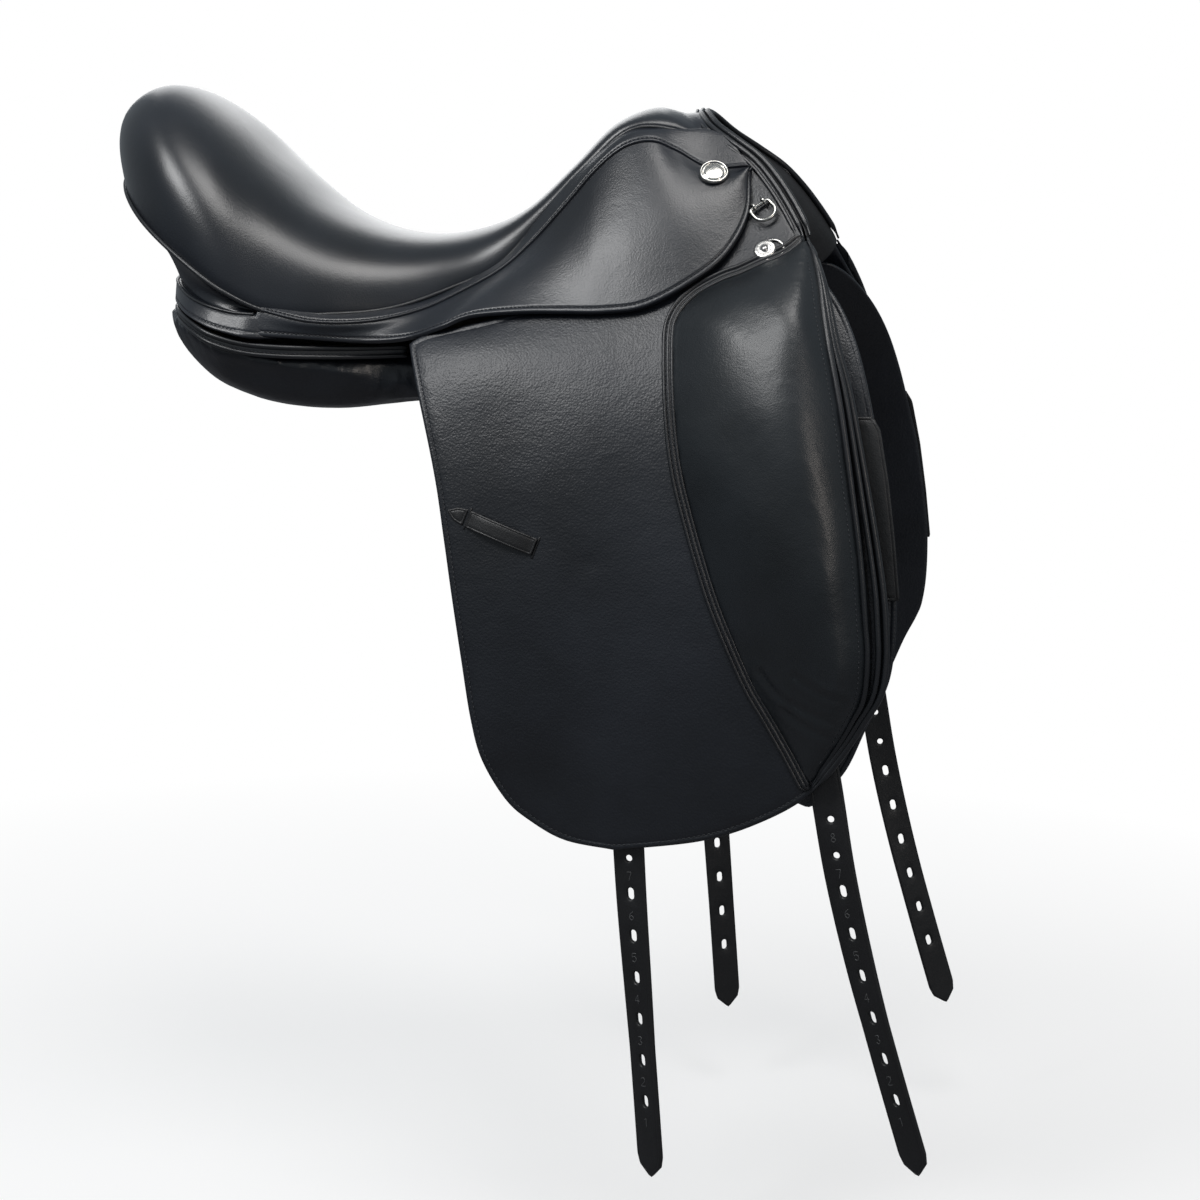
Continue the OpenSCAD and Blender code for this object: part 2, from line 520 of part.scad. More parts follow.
DEE = side(264, -57, 5.6);
DEE_OUT = out_dir(-1);
DEE_TURN = -138;
DEE_LEG = 7;
module dee_staples() color(STEEL) both() facing(DEE, DEE_OUT) rotate([0, 0, DEE_TURN])
    for (x = [-4, 4]) translate([x, 0, 0]) {
        rotate([90, 0, 90]) rotate_extrude(angle = 180, $fn = 48) translate([3.2, 0]) circle(r = 0.9, $fn = 24);
        for (y = [-3.2, 3.2]) translate([0, y, -5.3]) cylinder(h = 5.3, r = 0.9, $fn = 24);
    }

module dee_ring_right() color(STEEL) facing(DEE, DEE_OUT) rotate([0, 0, DEE_TURN]) {
    w = dee_w / 2;
    translate([-w, 0, 0]) rotate([0, 90, 0]) cylinder(h = 2 * w, r = dee_wire, $fn = 24);
    translate([0, DEE_LEG, 0]) rotate_extrude(angle = 180, $fn = 48) translate([w, 0])
        circle(r = dee_wire, $fn = 24);
    for (x = [-w, w]) translate([x, 0, 0]) {
        sphere(r = dee_wire, $fn = 24);
        rotate([-90, 0, 0]) cylinder(h = DEE_LEG, r = dee_wire, $fn = 24);
    }
}

NAIL = side(269, -30);
module point_nails() color(STEEL) both() facing(NAIL, DEE_OUT) {
    translate([0, 0, 0.6]) cylinder(h = 1.6, r = nail_r, $fn = 64);
    translate([0, 0, 2.2]) rotate_extrude($fn = 64) translate([nail_r - 3, 0]) square([3, 1]);
    translate([0, 0, 2.2]) cylinder(h = 1.2, r = 3, $fn = 48);
}

// ---------- panels ----------

// Cross-sections of a panel at x, as [y, z] points: top outer, top inner, low inner, sole, low outer, side
PANEL = [
    [-194, -68, 80, -38, 80, -38, 73, -52, 69, -66, 71, -70, 76],
    [-180, -96, 76, -35, 81, -35, 62, -66, 48, -90, 53, -98, 66],
    [-160, -118, 68, -33, 81, -33, 50, -74, 28, -106, 36, -119, 52],
    [-130, -131, 56, -32, 82, -33, 42, -78, 14, -119, 20, -133, 38],
    [-95, -128, 49, -32, 80, -34, 38, -78, 5, -117, 8, -130, 29],
    [-50, -113, 46, -31, 78, -35, 36, -75, 1, -105, 2, -117, 23],
    [0, -90, 47, -30, 76, -36, 38, -70, 4, -88, 4, -96, 24],
    [50, -70, 66, -30, 84, -36, 55, -72, 18, -98, 8, -97, 36],
    [100, -58, 86, -32, 98, -40, 72, -76, 32, -112, 6, -96, 46],
    [150, -53, 106, -34, 117, -44, 92, -82, 42, -121, 6, -97, 52],
    [200, -50, 121, -36, 131, -48, 100, -88, 46, -125, 8, -98, 60],
    [240, -50, 130, -38, 138, -52, 104, -90, 50, -123, 14, -99, 65],
    [275, -58, 126, -46, 131, -56, 108, -90, 62, -117, 28, -98, 71],
    [292, -68, 110, -60, 113, -66, 100, -88, 72, -104, 50, -92, 77]];

// A ring of the panel at x, drawn in by t all round
function panel_ring(x, t, up = 0) = let(
        q = along(PANEL, x), c = [(q[3] + q[11]) / 2, (q[4] + q[8]) / 2],
        p = [for (i = [0:5]) let(w = [q[1 + 2 * i], q[2 + 2 * i]]) w - t * 1.3 * unit(w - c) + [0, i < 2 ? up : 0]],
        n = 6)
    [for (i = [0:n - 1], f = [0, 0.5]) let(
            a = p[(i + n - 1) % n], b = p[i], d = p[(i + 1) % n], e = p[(i + 2) % n],
            w = b + 0.5 * f * (d - a + f * (2 * a - 5 * b + 4 * d - e + f * (3 * (b - d) + e - a))))
        [x, w[0], w[1]]];

module panel_body(t, x0, x1, up = 0) loft([for (k = steps(0, 1, 20)) panel_ring(x0 + (x1 - x0) * k, t, up)]);

module panel_cover_right() color(LEATHER) difference() {
    panel_body(0, -194, 292);
    panel_body(2.2, -189, 287, 9);
}
module panel_flock_right() color([0.92, 0.9, 0.86]) panel_body(11.5, -170, 262);

PIPE = [[4, -101, 50], [-24, -111, 49], [-50, -121, 49], [-83, -134, 50], [-112, -138.5, 53], [-137, -139.5, 61],
    [-154, -134, 70], [-170, -122, 76], [-184, -104, 79], [-194, -80, 81], [-200, -55, 81], [-202, -36, 81]];
module panel_welts_right() color(LEATHER) {
    cord([for (k = steps(0, 1, 22)) curve(PIPE, k)], 2.2);
    cord([for (k = steps(0, 1, 22)) curve(PIPE, k) + [0.5, -0.8, -6.2]], 2.2);
}

// ---------- left side ----------
module tree_point_left() left() tree_point_right();
module stirrup_bar_left() left() stirrup_bar_right();
module bar_catch_left() left() bar_catch_right();
module girth_webbing_left() left() girth_webbing_right();
module skirt_top_left() left() skirt_top_right();
module skirt_flap_left() left() skirt_flap_right();
module panel_cover_left() left() panel_cover_right();
module panel_flock_left() left() panel_flock_right();
module panel_welts_left() left() panel_welts_right();
module sweat_flap_left() left() sweat_flap_right();
module flap_head_left() left() flap_head_right();
module dee_ring_left() left() dee_ring_right();
module flap_left() left() flap_right();
module knee_block_left() left() knee_block_right();
module block_foam_left() left() block_foam_right();
module keeper_left() left() keeper_right();
module strap_front_left() left() strap_front_right();
module strap_rear_left() left() strap_rear_right();

tree_frame();
head_arch();
gullet_plate();
tree_point_right();
tree_point_left();
spring_steels();
stirrup_bar_right();
stirrup_bar_left();
bar_rivets();
catch_pins();
bar_catch_right();
bar_catch_left();
strainer_webbing();
girth_webbing_right();
girth_webbing_left();
strap_rivets();
seat_foam();
seat_cover();
seat_welt();
cantle_facing();
cantle_band();
pommel_facing();
skirt_top_right();
skirt_top_left();
skirt_flap_right();
skirt_flap_left();
skirt_badges();
panel_cover_right();
panel_cover_left();
panel_flock_right();
panel_flock_left();
panel_welts_right();
panel_welts_left();
sweat_flap_right();
sweat_flap_left();
flap_head_right();
flap_head_left();
point_nails();
dee_staples();
dee_ring_right();
dee_ring_left();
flap_right();
flap_left();
knee_block_right();
knee_block_left();
block_foam_right();
block_foam_left();
keeper_right();
keeper_left();
strap_front_right();
strap_front_left();
strap_rear_right();
strap_rear_left();
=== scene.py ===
"""Dressage saddle: the looks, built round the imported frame. Lengths are in millimetres until a mesh is made.
+X points forward to the pommel, +Y to the left, +Z up. The right half is built and mirrored."""
import math

import bpy
import numpy as np
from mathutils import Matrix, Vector
from mathutils.bvhtree import BVHTree
from mathutils.geometry import delaunay_2d_cdt


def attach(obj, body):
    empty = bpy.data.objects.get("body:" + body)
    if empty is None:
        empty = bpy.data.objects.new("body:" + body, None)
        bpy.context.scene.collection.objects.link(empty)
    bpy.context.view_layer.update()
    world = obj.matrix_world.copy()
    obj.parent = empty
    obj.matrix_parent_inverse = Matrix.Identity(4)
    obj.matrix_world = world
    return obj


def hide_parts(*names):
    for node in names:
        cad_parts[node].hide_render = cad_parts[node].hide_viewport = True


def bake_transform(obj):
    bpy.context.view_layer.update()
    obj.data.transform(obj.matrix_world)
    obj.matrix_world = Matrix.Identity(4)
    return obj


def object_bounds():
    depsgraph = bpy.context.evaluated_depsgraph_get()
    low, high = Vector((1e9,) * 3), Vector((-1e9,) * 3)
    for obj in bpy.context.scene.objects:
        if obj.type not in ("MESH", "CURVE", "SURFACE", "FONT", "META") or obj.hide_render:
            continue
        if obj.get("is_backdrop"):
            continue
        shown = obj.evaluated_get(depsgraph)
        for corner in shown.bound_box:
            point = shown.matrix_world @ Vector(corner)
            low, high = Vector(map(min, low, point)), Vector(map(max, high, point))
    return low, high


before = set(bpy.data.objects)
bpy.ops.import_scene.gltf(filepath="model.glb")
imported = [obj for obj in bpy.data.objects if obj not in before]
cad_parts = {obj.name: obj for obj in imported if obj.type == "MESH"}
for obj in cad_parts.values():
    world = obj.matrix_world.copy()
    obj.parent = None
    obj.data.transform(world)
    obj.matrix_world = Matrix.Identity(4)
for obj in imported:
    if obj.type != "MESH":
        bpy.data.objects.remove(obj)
CAD_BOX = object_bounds()
MM = 0.001
SADDLE = "saddle"
SIDES = (("right", 1), ("left", -1))


# ---------------------------------------------------------------- curves

def arr(x):
    return np.asarray(x, float)


def unit(v):
    v = arr(v)
    return v / np.maximum(np.linalg.norm(v, axis=-1, keepdims=True), 1e-9)


def catmull(a, b, c, d, f):
    """The smooth curve through a, b, c and d, at f of the way from b to c."""
    return b + 0.5 * f * (c - a + f * (2 * a - 5 * b + 4 * c - d + f * (3 * (b - c) + d - a)))


def spline(points, t):
    """A smooth curve through points, at t in 0..1."""
    p = arr(points)
    p = np.vstack([2 * p[0] - p[1], p, 2 * p[-1] - p[-2]])
    n = len(p) - 3
    s = np.clip(arr(t) * n, 0, n)
    i = np.minimum(s.astype(int), n - 1)
    return catmull(p[i], p[i + 1], p[i + 2], p[i + 3], (s - i)[..., None])


def lengths(path):
    """The length of a path up to each of its points."""
    return np.r_[0, np.cumsum(np.linalg.norm(np.diff(path, axis=0), axis=1))]


def read_off(s, values, at):
    """Rows of values that belong to the lengths s, read off at other lengths."""
    return np.stack([np.interp(at, s, values[:, k]) for k in range(values.shape[1])], -1)


def between(a, b, k):
    """A grid whose columns lie at the fractions k of the way from the path a to the path b."""
    return a[:, None] * (1 - k)[None, :, None] + b[:, None] * k[None, :, None]


def mirrored(grid):
    """A grid from the centre plane to the right, joined to its mirror on the left."""
    return np.concatenate([(grid * [1, -1, 1])[::-1], grid[1:]])


def even(path, step, closed=False):
    """The same path with evenly spaced points."""
    p = arr(path)
    if closed:
        p = np.vstack([p, p[:1]])
    s = lengths(p)
    q = read_off(s, p, np.linspace(0, s[-1], max(4, int(round(s[-1] / step))) + 1))
    return q[:-1] if closed else q


def smooth(points, step=3.0):
    return even(spline(points, np.linspace(0, 1, 24 * len(points))), step)


def inside(loop, p):
    """Which points lie in a closed 2-D loop."""
    a, b = loop, np.roll(loop, -1, 0)
    x, y = p[:, :1], p[:, 1:]
    cross = (a[:, 1] > y) != (b[:, 1] > y)
    dy = np.where(np.abs(b[:, 1] - a[:, 1]) < 1e-12, 1e-12, b[:, 1] - a[:, 1])
    xs = a[:, 0] + (y - a[:, 1]) / dy * (b[:, 0] - a[:, 0])
    return (np.sum(cross & (x < xs), axis=1) % 2) == 1


def distance(loops, p, closed=True):
    """Distance from points to the nearest of some polylines, in any dimension."""
    best = np.full(len(p), 1e9)
    for loop in loops:
        a, b = (loop, np.roll(loop, -1, 0)) if closed else (loop[:-1], loop[1:])
        for k in range(0, len(p), 4000):
            q = p[k:k + 4000, None, :]
            ab = b - a
            t = np.clip(np.sum((q - a) * ab, -1) / np.maximum(np.sum(ab * ab, -1), 1e-12), 0, 1)
            d = np.linalg.norm(q - (a + t[..., None] * ab), axis=-1).min(1)
            best[k:k + 4000] = np.minimum(best[k:k + 4000], d)
    return best


# ---------------------------------------------------------------- materials

COAT_ROUGH = 0.28


def node(tree, kind, **values):
    n = tree.nodes.new(kind)
    for key, value in values.items():
        if key in n.inputs:
            n.inputs[key].default_value = value
        else:
            setattr(n, key, value)
    return n


def material(name, base, rough=0.4, metal=0.0, coat=0.0, sheen=0.0):
    m = bpy.data.materials.new(name)
    m.use_nodes = True
    shader = m.node_tree.nodes["Principled BSDF"]
    for key, value in (("Base Color", (*base, 1)), ("Roughness", rough), ("Metallic", metal), ("Coat Weight", coat),
                       ("Coat Roughness", COAT_ROUGH), ("Sheen Weight", sheen)):
        shader.inputs[key].default_value = value
    return m, m.node_tree, shader


def ramp(tree, fac, low, high, c0, c1):
    r = node(tree, "ShaderNodeMapRange")
    r.data_type = "FLOAT"
    for key, v in (("From Min", low), ("From Max", high), ("To Min", c0), ("To Max", c1)):
        r.inputs[key].default_value = v
    tree.links.new(fac, r.inputs["Value"])
    return r.outputs["Result"]


def texture(tree, kind, at, **values):
    n = node(tree, "ShaderNodeTex" + kind, **values)
    tree.links.new(at, n.inputs["Vector"])
    return n


def two_tone(tree, fac, low, high, target):
    """A colour between low and high, by fac."""
    mix = node(tree, "ShaderNodeMix", data_type="RGBA")
    mix.inputs["A"].default_value = (*low, 1)
    mix.inputs["B"].default_value = (*high, 1)
    tree.links.new(fac, mix.inputs["Factor"])
    tree.links.new(mix.outputs["Result"], target)


def bump(tree, height, strength, depth, target, under=None):
    """A bump of a depth in metres, on top of another one if under is given."""
    n = node(tree, "ShaderNodeBump", Strength=strength, Distance=depth)
    tree.links.new(height, n.inputs["Height"])
    if under:
        tree.links.new(under, n.inputs["Normal"])
    tree.links.new(n.outputs["Normal"], target)
    return n.outputs["Normal"]


def shades(base, spread):
    """A darker and a lighter version of a colour."""
    return [[min(1, c * k) for c in base] for k in (1 - spread, 1 + spread)]


def leather(name, base, rough, grain, pebble, fine, wrinkle, coat=0.15, mottle=0.35):
    """Calf leather: pebble grain (in mm) with pores, soft wrinkles, and colour and shine that vary a little."""
    m, t, b = material(name, base, rough, coat=coat)
    at = node(t, "ShaderNodeTexCoord").outputs["Object"]
    cells = texture(t, "Voronoi", at, Scale=1000 / grain, Randomness=0.9, feature="SMOOTH_F1")
    pores = texture(t, "Noise", at, Scale=2200.0, Detail=3.0, Roughness=0.6)
    folds = texture(t, "Noise", at, Scale=60.0, Detail=4.0, Roughness=0.55, Distortion=0.4)
    cloud = texture(t, "Noise", at, Scale=9.0, Detail=3.0, Roughness=0.5).outputs["Fac"]
    normal = bump(t, cells.outputs["Distance"], pebble, 0.0006, b.inputs["Normal"])
    normal = bump(t, pores.outputs["Fac"], fine, 0.0003, b.inputs["Normal"], normal)
    normal = bump(t, folds.outputs["Fac"], wrinkle, 0.0025, b.inputs["Normal"], normal)
    t.links.new(normal, b.inputs["Coat Normal"])
    two_tone(t, ramp(t, cloud, 0.35, 0.65, 0.0, 1.0), *shades(base, mottle), b.inputs["Base Color"])
    t.links.new(ramp(t, cloud, 0.3, 0.7, rough * 0.88, rough * 1.14), b.inputs["Roughness"])
    return m


def grained(name, base, rough, scale, stretch, strength, metal=0.0, contrast=0.4):
    """Wood, metal, thread or foam: one stretched noise drives colour, shine and bump."""
    m, t, b = material(name, base, rough, metal)
    mapping = node(t, "ShaderNodeMapping", Scale=stretch)
    t.links.new(node(t, "ShaderNodeTexCoord").outputs["Object"], mapping.inputs["Vector"])
    grain = texture(t, "Noise", mapping.outputs["Vector"], Scale=scale, Detail=5.0, Roughness=0.6).outputs["Fac"]
    two_tone(t, ramp(t, grain, 0.3, 0.7, 0.0, 1.0), *shades(base, contrast), b.inputs["Base Color"])
    t.links.new(ramp(t, grain, 0.3, 0.7, rough * 0.8, rough * 1.25), b.inputs["Roughness"])
    bump(t, grain, strength, 0.0004, b.inputs["Normal"])
    return m


def woven(name, base, pitch):
    """Plain weave: two crossed wave sets, pitch in mm."""
    m, t, b = material(name, base, 0.85, sheen=0.3)
    at = node(t, "ShaderNodeTexCoord").outputs["Object"]
    top = node(t, "ShaderNodeMath", operation="MAXIMUM")
    for k, axis in enumerate("XZ"):
        wave = texture(t, "Wave", at, Scale=1000 / pitch / 6.28, Distortion=0.6, bands_direction=axis)
        t.links.new(wave.outputs["Fac"], top.inputs[k])
    two_tone(t, top.outputs["Value"], [c * 0.45 for c in base], base, b.inputs["Base Color"])
    bump(t, top.outputs["Value"], 0.5, 0.0005, b.inputs["Normal"])
    return m


INK = (0.0072, 0.0092, 0.0135)
# name, colour, roughness, grain, pebble, fine, wrinkle, coat
SEAT_LEATHER = leather("seat_leather", INK, 0.33, 1.0, 0.1, 0.06, 0.05, 0.25)
FLAP_LEATHER = leather("flap_leather", INK, 0.4, 1.5, 0.34, 0.14, 0.16, 0.12)
SKIRT_LEATHER = leather("skirt_leather", INK, 0.35, 1.2, 0.16, 0.1, 0.1, 0.2)
BLOCK_LEATHER = leather("block_leather", (0.0072, 0.0098, 0.0125), 0.38, 1.1, 0.14, 0.12, 0.14)
PANEL_LEATHER = leather("panel_leather", INK, 0.34, 1.1, 0.14, 0.1, 0.3, 0.2)
WELT_LEATHER = leather("welt_leather", (0.006, 0.0072, 0.0095), 0.38, 0.8, 0.12, 0.15, 0.05, 0.2)
STRAP_LEATHER = leather("strap_leather", (0.0045, 0.0048, 0.0058), 0.5, 1.0, 0.2, 0.3, 0.2)
LINING = leather("lining_leather", (0.012, 0.0125, 0.014), 0.6, 0.9, 0.2, 0.5, 0.3, 0.0)
# name, colour, roughness, noise scale, stretch, bump
THREAD = grained("thread", (0.018, 0.02, 0.025), 0.55, 3000, (1, 1, 1), 0.5)
# the strap numbers' pale grey colour is a painted glint: the numerals are embossed in the same dark leather
PAINTED_GLINT_NUMBERS = grained("number_marks_painted_glint", (0.07, 0.072, 0.075), 0.45, 2500, (1, 1, 1), 0.3)
NICKEL = grained("nickel", (0.56, 0.55, 0.52), 0.2, 260, (1, 1, 1), 0.012, 1.0, 0.03)
BRUSHED = grained("brushed_nickel", (0.56, 0.55, 0.53), 0.27, 300, (1, 1, 4), 0.02, 1.0, 0.04)
STEEL = grained("steel", (0.5, 0.51, 0.53), 0.34, 500, (0.3, 1, 4), 0.2, 1.0, 0.2)
WOOD = grained("beech", (0.36, 0.22, 0.11), 0.5, 90, (0.25, 2.2, 2.2), 0.3, contrast=0.35)
WEB = woven("webbing", (0.42, 0.39, 0.31), 1.6)
FOAM = grained("foam", (0.62, 0.55, 0.32), 0.9, 1200, (1, 1, 1), 0.6, contrast=0.25)
SLOTS = {mat.name: slot for slot, mats in (
    ("leather_welt", (WELT_LEATHER, THREAD)), ("suede", (BLOCK_LEATHER,)), ("panel_leather", (PANEL_LEATHER,)),
    ("strap_leather", (STRAP_LEATHER, PAINTED_GLINT_NUMBERS)), ("nickel", (NICKEL, BRUSHED)), ("foam", (FOAM,))) for mat in mats}


# ---------------------------------------------------------------- mesh building

def volume(v, faces):
    total = 0.0
    for n in {len(f) for f in faces}:
        f = np.array([q for q in faces if len(q) == n])
        for k in range(1, n - 1):
            total += np.einsum("ij,ij->i", v[f[:, 0]], np.cross(v[f[:, k]], v[f[:, k + 1]])).sum()
    return total


def add(name, verts, faces, mat):
    """A mesh object from millimetre points, with its faces turned outwards."""
    v = arr(verts)
    if volume(v, faces) < 0:
        faces = [tuple(reversed(f)) for f in faces]
    me = bpy.data.meshes.new(name)
    me.from_pydata((v * MM).tolist(), [], [tuple(int(i) for i in f) for f in faces])
    me.polygons.foreach_set("use_smooth", [True] * len(me.polygons))
    me.materials.append(mat)
    me.update()
    return linked(bpy.data.objects.new(name, me))


def linked(ob):
    bpy.context.scene.collection.objects.link(ob)
    return ob


def dress(ob, swap=(), bend=None, body=SADDLE):
    """Puts a piece on its body, or only bakes its transform when bend is given, and hides the CAD nodes that it
    replaces.
    """
    if bend:
        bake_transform(ob)
    else:
        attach(ob, body)
    SLOTS.get(ob.data.materials[0].name, "leather_black")
    if swap:
        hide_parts(*swap)


def dress_side(ob, side_name, sign, swap=(), bend=None, body=SADDLE):
    """Dresses one of a pair: '*' in a body's or node's name stands for the side, and bend is the right side's."""
    if bend:
        bend = (bend[0].replace("*", side_name), bend[1] * [1, sign, 1], bend[2] * [1, sign, 1])
    dress(ob, [s.replace("*", side_name) for s in swap], bend, body.replace("*", side_name))


def pair(name, mesh, mat, swap=(), bend=None, body=SADDLE):
    """The same piece on the right and, mirrored, on the left."""
    for side_name, sign in SIDES:
        ob = add(f"{name}_{side_name}", arr(mesh[0]) * [1, sign, 1], mesh[1], mat)
        dress_side(ob, side_name, sign, swap, bend, body)


def join(*meshes):
    verts, faces, n = [], [], 0
    for v, f in meshes:
        verts.append(arr(v))
        faces += [tuple(i + n for i in q) for q in f]
        n += len(v)
    return np.vstack(verts), faces


def quads(rows, cols, wrap=False, start=0):
    out = []
    for i in range(rows - 1):
        for j in range(cols if wrap else cols - 1):
            a, b = i * cols + j, i * cols + (j + 1) % cols
            out.append((start + a, start + b, start + b + cols, start + a + cols))
    return out


def caps(rows, cols):
    """The two end faces of a tube of quads."""
    return [tuple(range(cols))[::-1], tuple(range((rows - 1) * cols, rows * cols))]


def frames(path, closed=False):
    """Tangent and two normals along a path, carried without twist."""
    p = arr(path)
    t = unit(np.roll(p, -1, 0) - np.roll(p, 1, 0)) if closed else unit(np.gradient(p, axis=0))
    n = [np.cross(t[0], [0, 0, 1] if abs(t[0][2]) < 0.9 else [1, 0, 0])]
    for k in t:
        n.append(unit(n[-1] - np.dot(n[-1], k) * k))
    n = arr(n[1:])
    return t, n, np.cross(t, n)


def tube(path, r, sides=10, closed=False):
    """A round cord along a path, with domed ends."""
    p = arr(path)
    r = np.broadcast_to(arr(r), (len(p),)).copy()
    if not closed:
        d0, d1 = unit(p[0] - p[1]), unit(p[-1] - p[-2])
        p = np.vstack([p[0] + d0 * r[0] * 0.8, p[0] + d0 * r[0] * 0.45, p,
                       p[-1] + d1 * r[-1] * 0.45, p[-1] + d1 * r[-1] * 0.8])
        r = np.r_[r[0] * 0.3, r[0] * 0.8, r, r[-1] * 0.8, r[-1] * 0.3]
    t, n, b = frames(p, closed)
    a = np.linspace(0, 2 * math.pi, sides, endpoint=False)
    round_it = np.cos(a)[None, :, None] * n[:, None] + np.sin(a)[None, :, None] * b[:, None]
    v = (p[:, None] + r[:, None, None] * round_it).reshape(-1, 3)
    f = quads(len(p), sides, wrap=True)
    if closed:
        off = (len(p) - 1) * sides
        turn = int(round(math.atan2(np.dot(n[-1], b[0]), np.dot(n[-1], n[0])) / (2 * math.pi) * sides))
        f += [(off + j, off + (j + 1) % sides, (j + 1 + turn) % sides, (j + turn) % sides) for j in range(sides)]
    else:
        f += caps(len(p), sides)
    return v, f


def shell(outer, inner):
    """A closed solid between two grids of points, with a rounded rim."""
    r, c = outer.shape[:2]
    rim = [(0, j) for j in range(c)] + [(i, c - 1) for i in range(1, r)]
    rim += [(r - 1, j) for j in range(c - 2, -1, -1)] + [(i, 0) for i in range(r - 2, 0, -1)]
    verts = [outer.reshape(-1, 3), inner.reshape(-1, 3)]
    faces = quads(r, c) + [tuple(reversed(q)) for q in quads(r, c, start=r * c)]
    a = arr([outer[i, j] for i, j in rim])
    b = arr([inner[i, j] for i, j in rim])
    core = arr([outer[min(max(i, 1), r - 2), min(max(j, 1), c - 2)] for i, j in rim])
    out = unit(a - core) * np.linalg.norm(a - b, axis=1, keepdims=True)
    n, m = 2 * r * c, len(rim)
    verts += [a * 0.85 + b * 0.15 + out * 0.32, a * 0.5 + b * 0.5 + out * 0.46, a * 0.15 + b * 0.85 + out * 0.32]
    ia = [i * c + j for i, j in rim]
    rows = [ia] + [[n + row * m + k for k in range(m)] for row in range(3)] + [[r * c + i for i in ia]]
    for p, q in zip(rows, rows[1:]):
        faces += [(p[(k + 1) % m], p[k], q[k], q[(k + 1) % m]) for k in range(m)]
    return np.vstack(verts), faces


def cut_pattern(outline, holes, offs, cell, step, hole_step):
    """Triangles over a 2-D outline with holes, finer at its edges: points, triangles, border, distances to it."""
    pts, edges, n0 = [], [], 0
    loops = [even(outline, step, True)] + [even(h, hole_step, True) for h in holes]
    for loop in loops:
        m = len(loop)
        pts.append(loop)
        edges += [(n0 + i, n0 + (i + 1) % m) for i in range(m)]
        n0 += m
    extra = []
    for k, loop in enumerate(loops):
        tan = unit(np.roll(loop, -1, 0) - np.roll(loop, 1, 0))
        nor = np.stack([-tan[:, 1], tan[:, 0]], -1)
        if (inside(loop, loop + nor * 0.05).mean() < 0.5) != (k > 0):
            nor = -nor
        extra += [(loop + nor * o, o) for o in (sorted(offs) if k == 0 else sorted(offs)[:3])]
    lo, hi = loops[0].min(0), loops[0].max(0)
    gx, gy = np.meshgrid(np.arange(lo[0], hi[0], cell), np.arange(lo[1], hi[1], cell))
    gx = gx + (np.arange(gx.shape[0]) % 2)[:, None] * cell * 0.5
    extra.append((np.stack([gx.ravel(), gy.ravel()], -1), max(offs) + cell * 0.45))
    for q, o in extra:
        keep = inside(loops[0], q)
        for h in loops[1:]:
            keep &= ~inside(h, q)
        q = q[keep]
        pts.append(q[distance(loops, q) > o * 0.94])
    v2, _, tris, *_ = delaunay_2d_cdt([Vector(p) for p in np.vstack(pts)], edges, [], 0, 1e-6, False)
    v2, tris = arr([v[:] for v in v2]), np.array([t[:] for t in tris], int)
    mid = v2[tris].mean(1)
    keep = inside(loops[0], mid)
    for h in loops[1:]:
        keep &= ~inside(h, mid)
    used, tris = np.unique(tris[keep], return_inverse=True)
    tris = tris.reshape(-1, 3)
    v2 = v2[used]
    seen = {(t[i], t[(i + 1) % 3]) for t in tris.tolist() for i in range(3)}
    return v2, tris, [(i, j) for i, j in sorted(seen) if (j, i) not in seen], distance(loops, v2)


def two_faced(tris, edges, n):
    """A sheet's faces: its top, its underside n points later, and the wall between them."""
    return [tuple(t) for t in tris] + [tuple(t[::-1] + n) for t in tris] + [(j, i, i + n, j + n) for i, j in edges]


def sheet(outline, place, thick, holes=(), grooves=(), round_r=None, cell=5.0, step=3.0, hole_step=0.8):
    """A sheet of leather cut to an outline, with rounded edges and pressed lines at grooves (distance, width, depth).
    place(x, y, h) puts a point of the pattern h above the sheet's face."""
    r = round_r or thick * 0.48
    offs = [0.12 * r, 0.4 * r, r]
    for at, width, _ in grooves:
        offs += [at - width, at - width * 0.5, at, at + width * 0.5, at + width]
    v2, tris, edges, d = cut_pattern(outline, holes, offs, cell, step, hole_step)
    drop = np.sqrt(np.maximum(r * r - (r - np.minimum(d, r)) ** 2, 0)) - r
    top = drop.copy()
    for at, width, depth in grooves:
        top -= depth * np.exp(-((d - at) / (width * 0.55)) ** 2)
    faces = two_faced(tris, edges, len(v2))
    return np.vstack([place(*v2.T, top), place(*v2.T, -thick - drop)]), faces


def stitches(path, normal, pitch, length, r):
    """A row of short rounded stitches along a path on a surface."""
    p = arr(path)
    s = lengths(p)
    at = np.arange(pitch * 0.5, s[-1] - pitch * 0.3, pitch)
    c, n = read_off(s, p, at), unit(read_off(s, arr(normal), at))
    t = unit(read_off(s, p, at + 0.6) - read_off(s, p, at - 0.6))
    b = np.cross(n, t)
    local = []
    for x, w in ((-0.5, 0.35), (-0.36, 0.85), (0.0, 1.0), (0.36, 0.85), (0.5, 0.35)):
        for a in np.linspace(0, 2 * math.pi, 6, endpoint=False):
            local.append((x * length, w * r * math.cos(a), w * r * math.sin(a) - 0.35 * r * (abs(x) > 0.4)))
    x, y, z = arr(local).T[:, None, :, None]
    v = c[:, None] + x * t[:, None] + y * b[:, None] + z * n[:, None]
    one = quads(5, 6, wrap=True) + caps(5, 6)
    return v.reshape(-1, 3), [tuple(i + 30 * k for i in f) for k in range(len(c)) for f in one]


def on(place, path, h=0.0):
    """Points and outward normals of a 2-D path laid on a placed surface."""
    p = arr(path)
    a = place(p[:, 0], p[:, 1], np.full(len(p), h))
    b = place(p[:, 0], p[:, 1], np.full(len(p), h + 1.0))
    return a, unit(b - a)


def read_mesh(me):
    """A mesh's points and their normals."""
    co, no = np.empty(len(me.vertices) * 3), np.empty(len(me.vertices) * 3)
    me.vertices.foreach_get("co", co)
    me.vertex_normals.foreach_get("vector", no)
    return co.reshape(-1, 3), no.reshape(-1, 3)


def write_points(me, points):
    me.vertices.foreach_set("co", points.ravel())
    me.update()


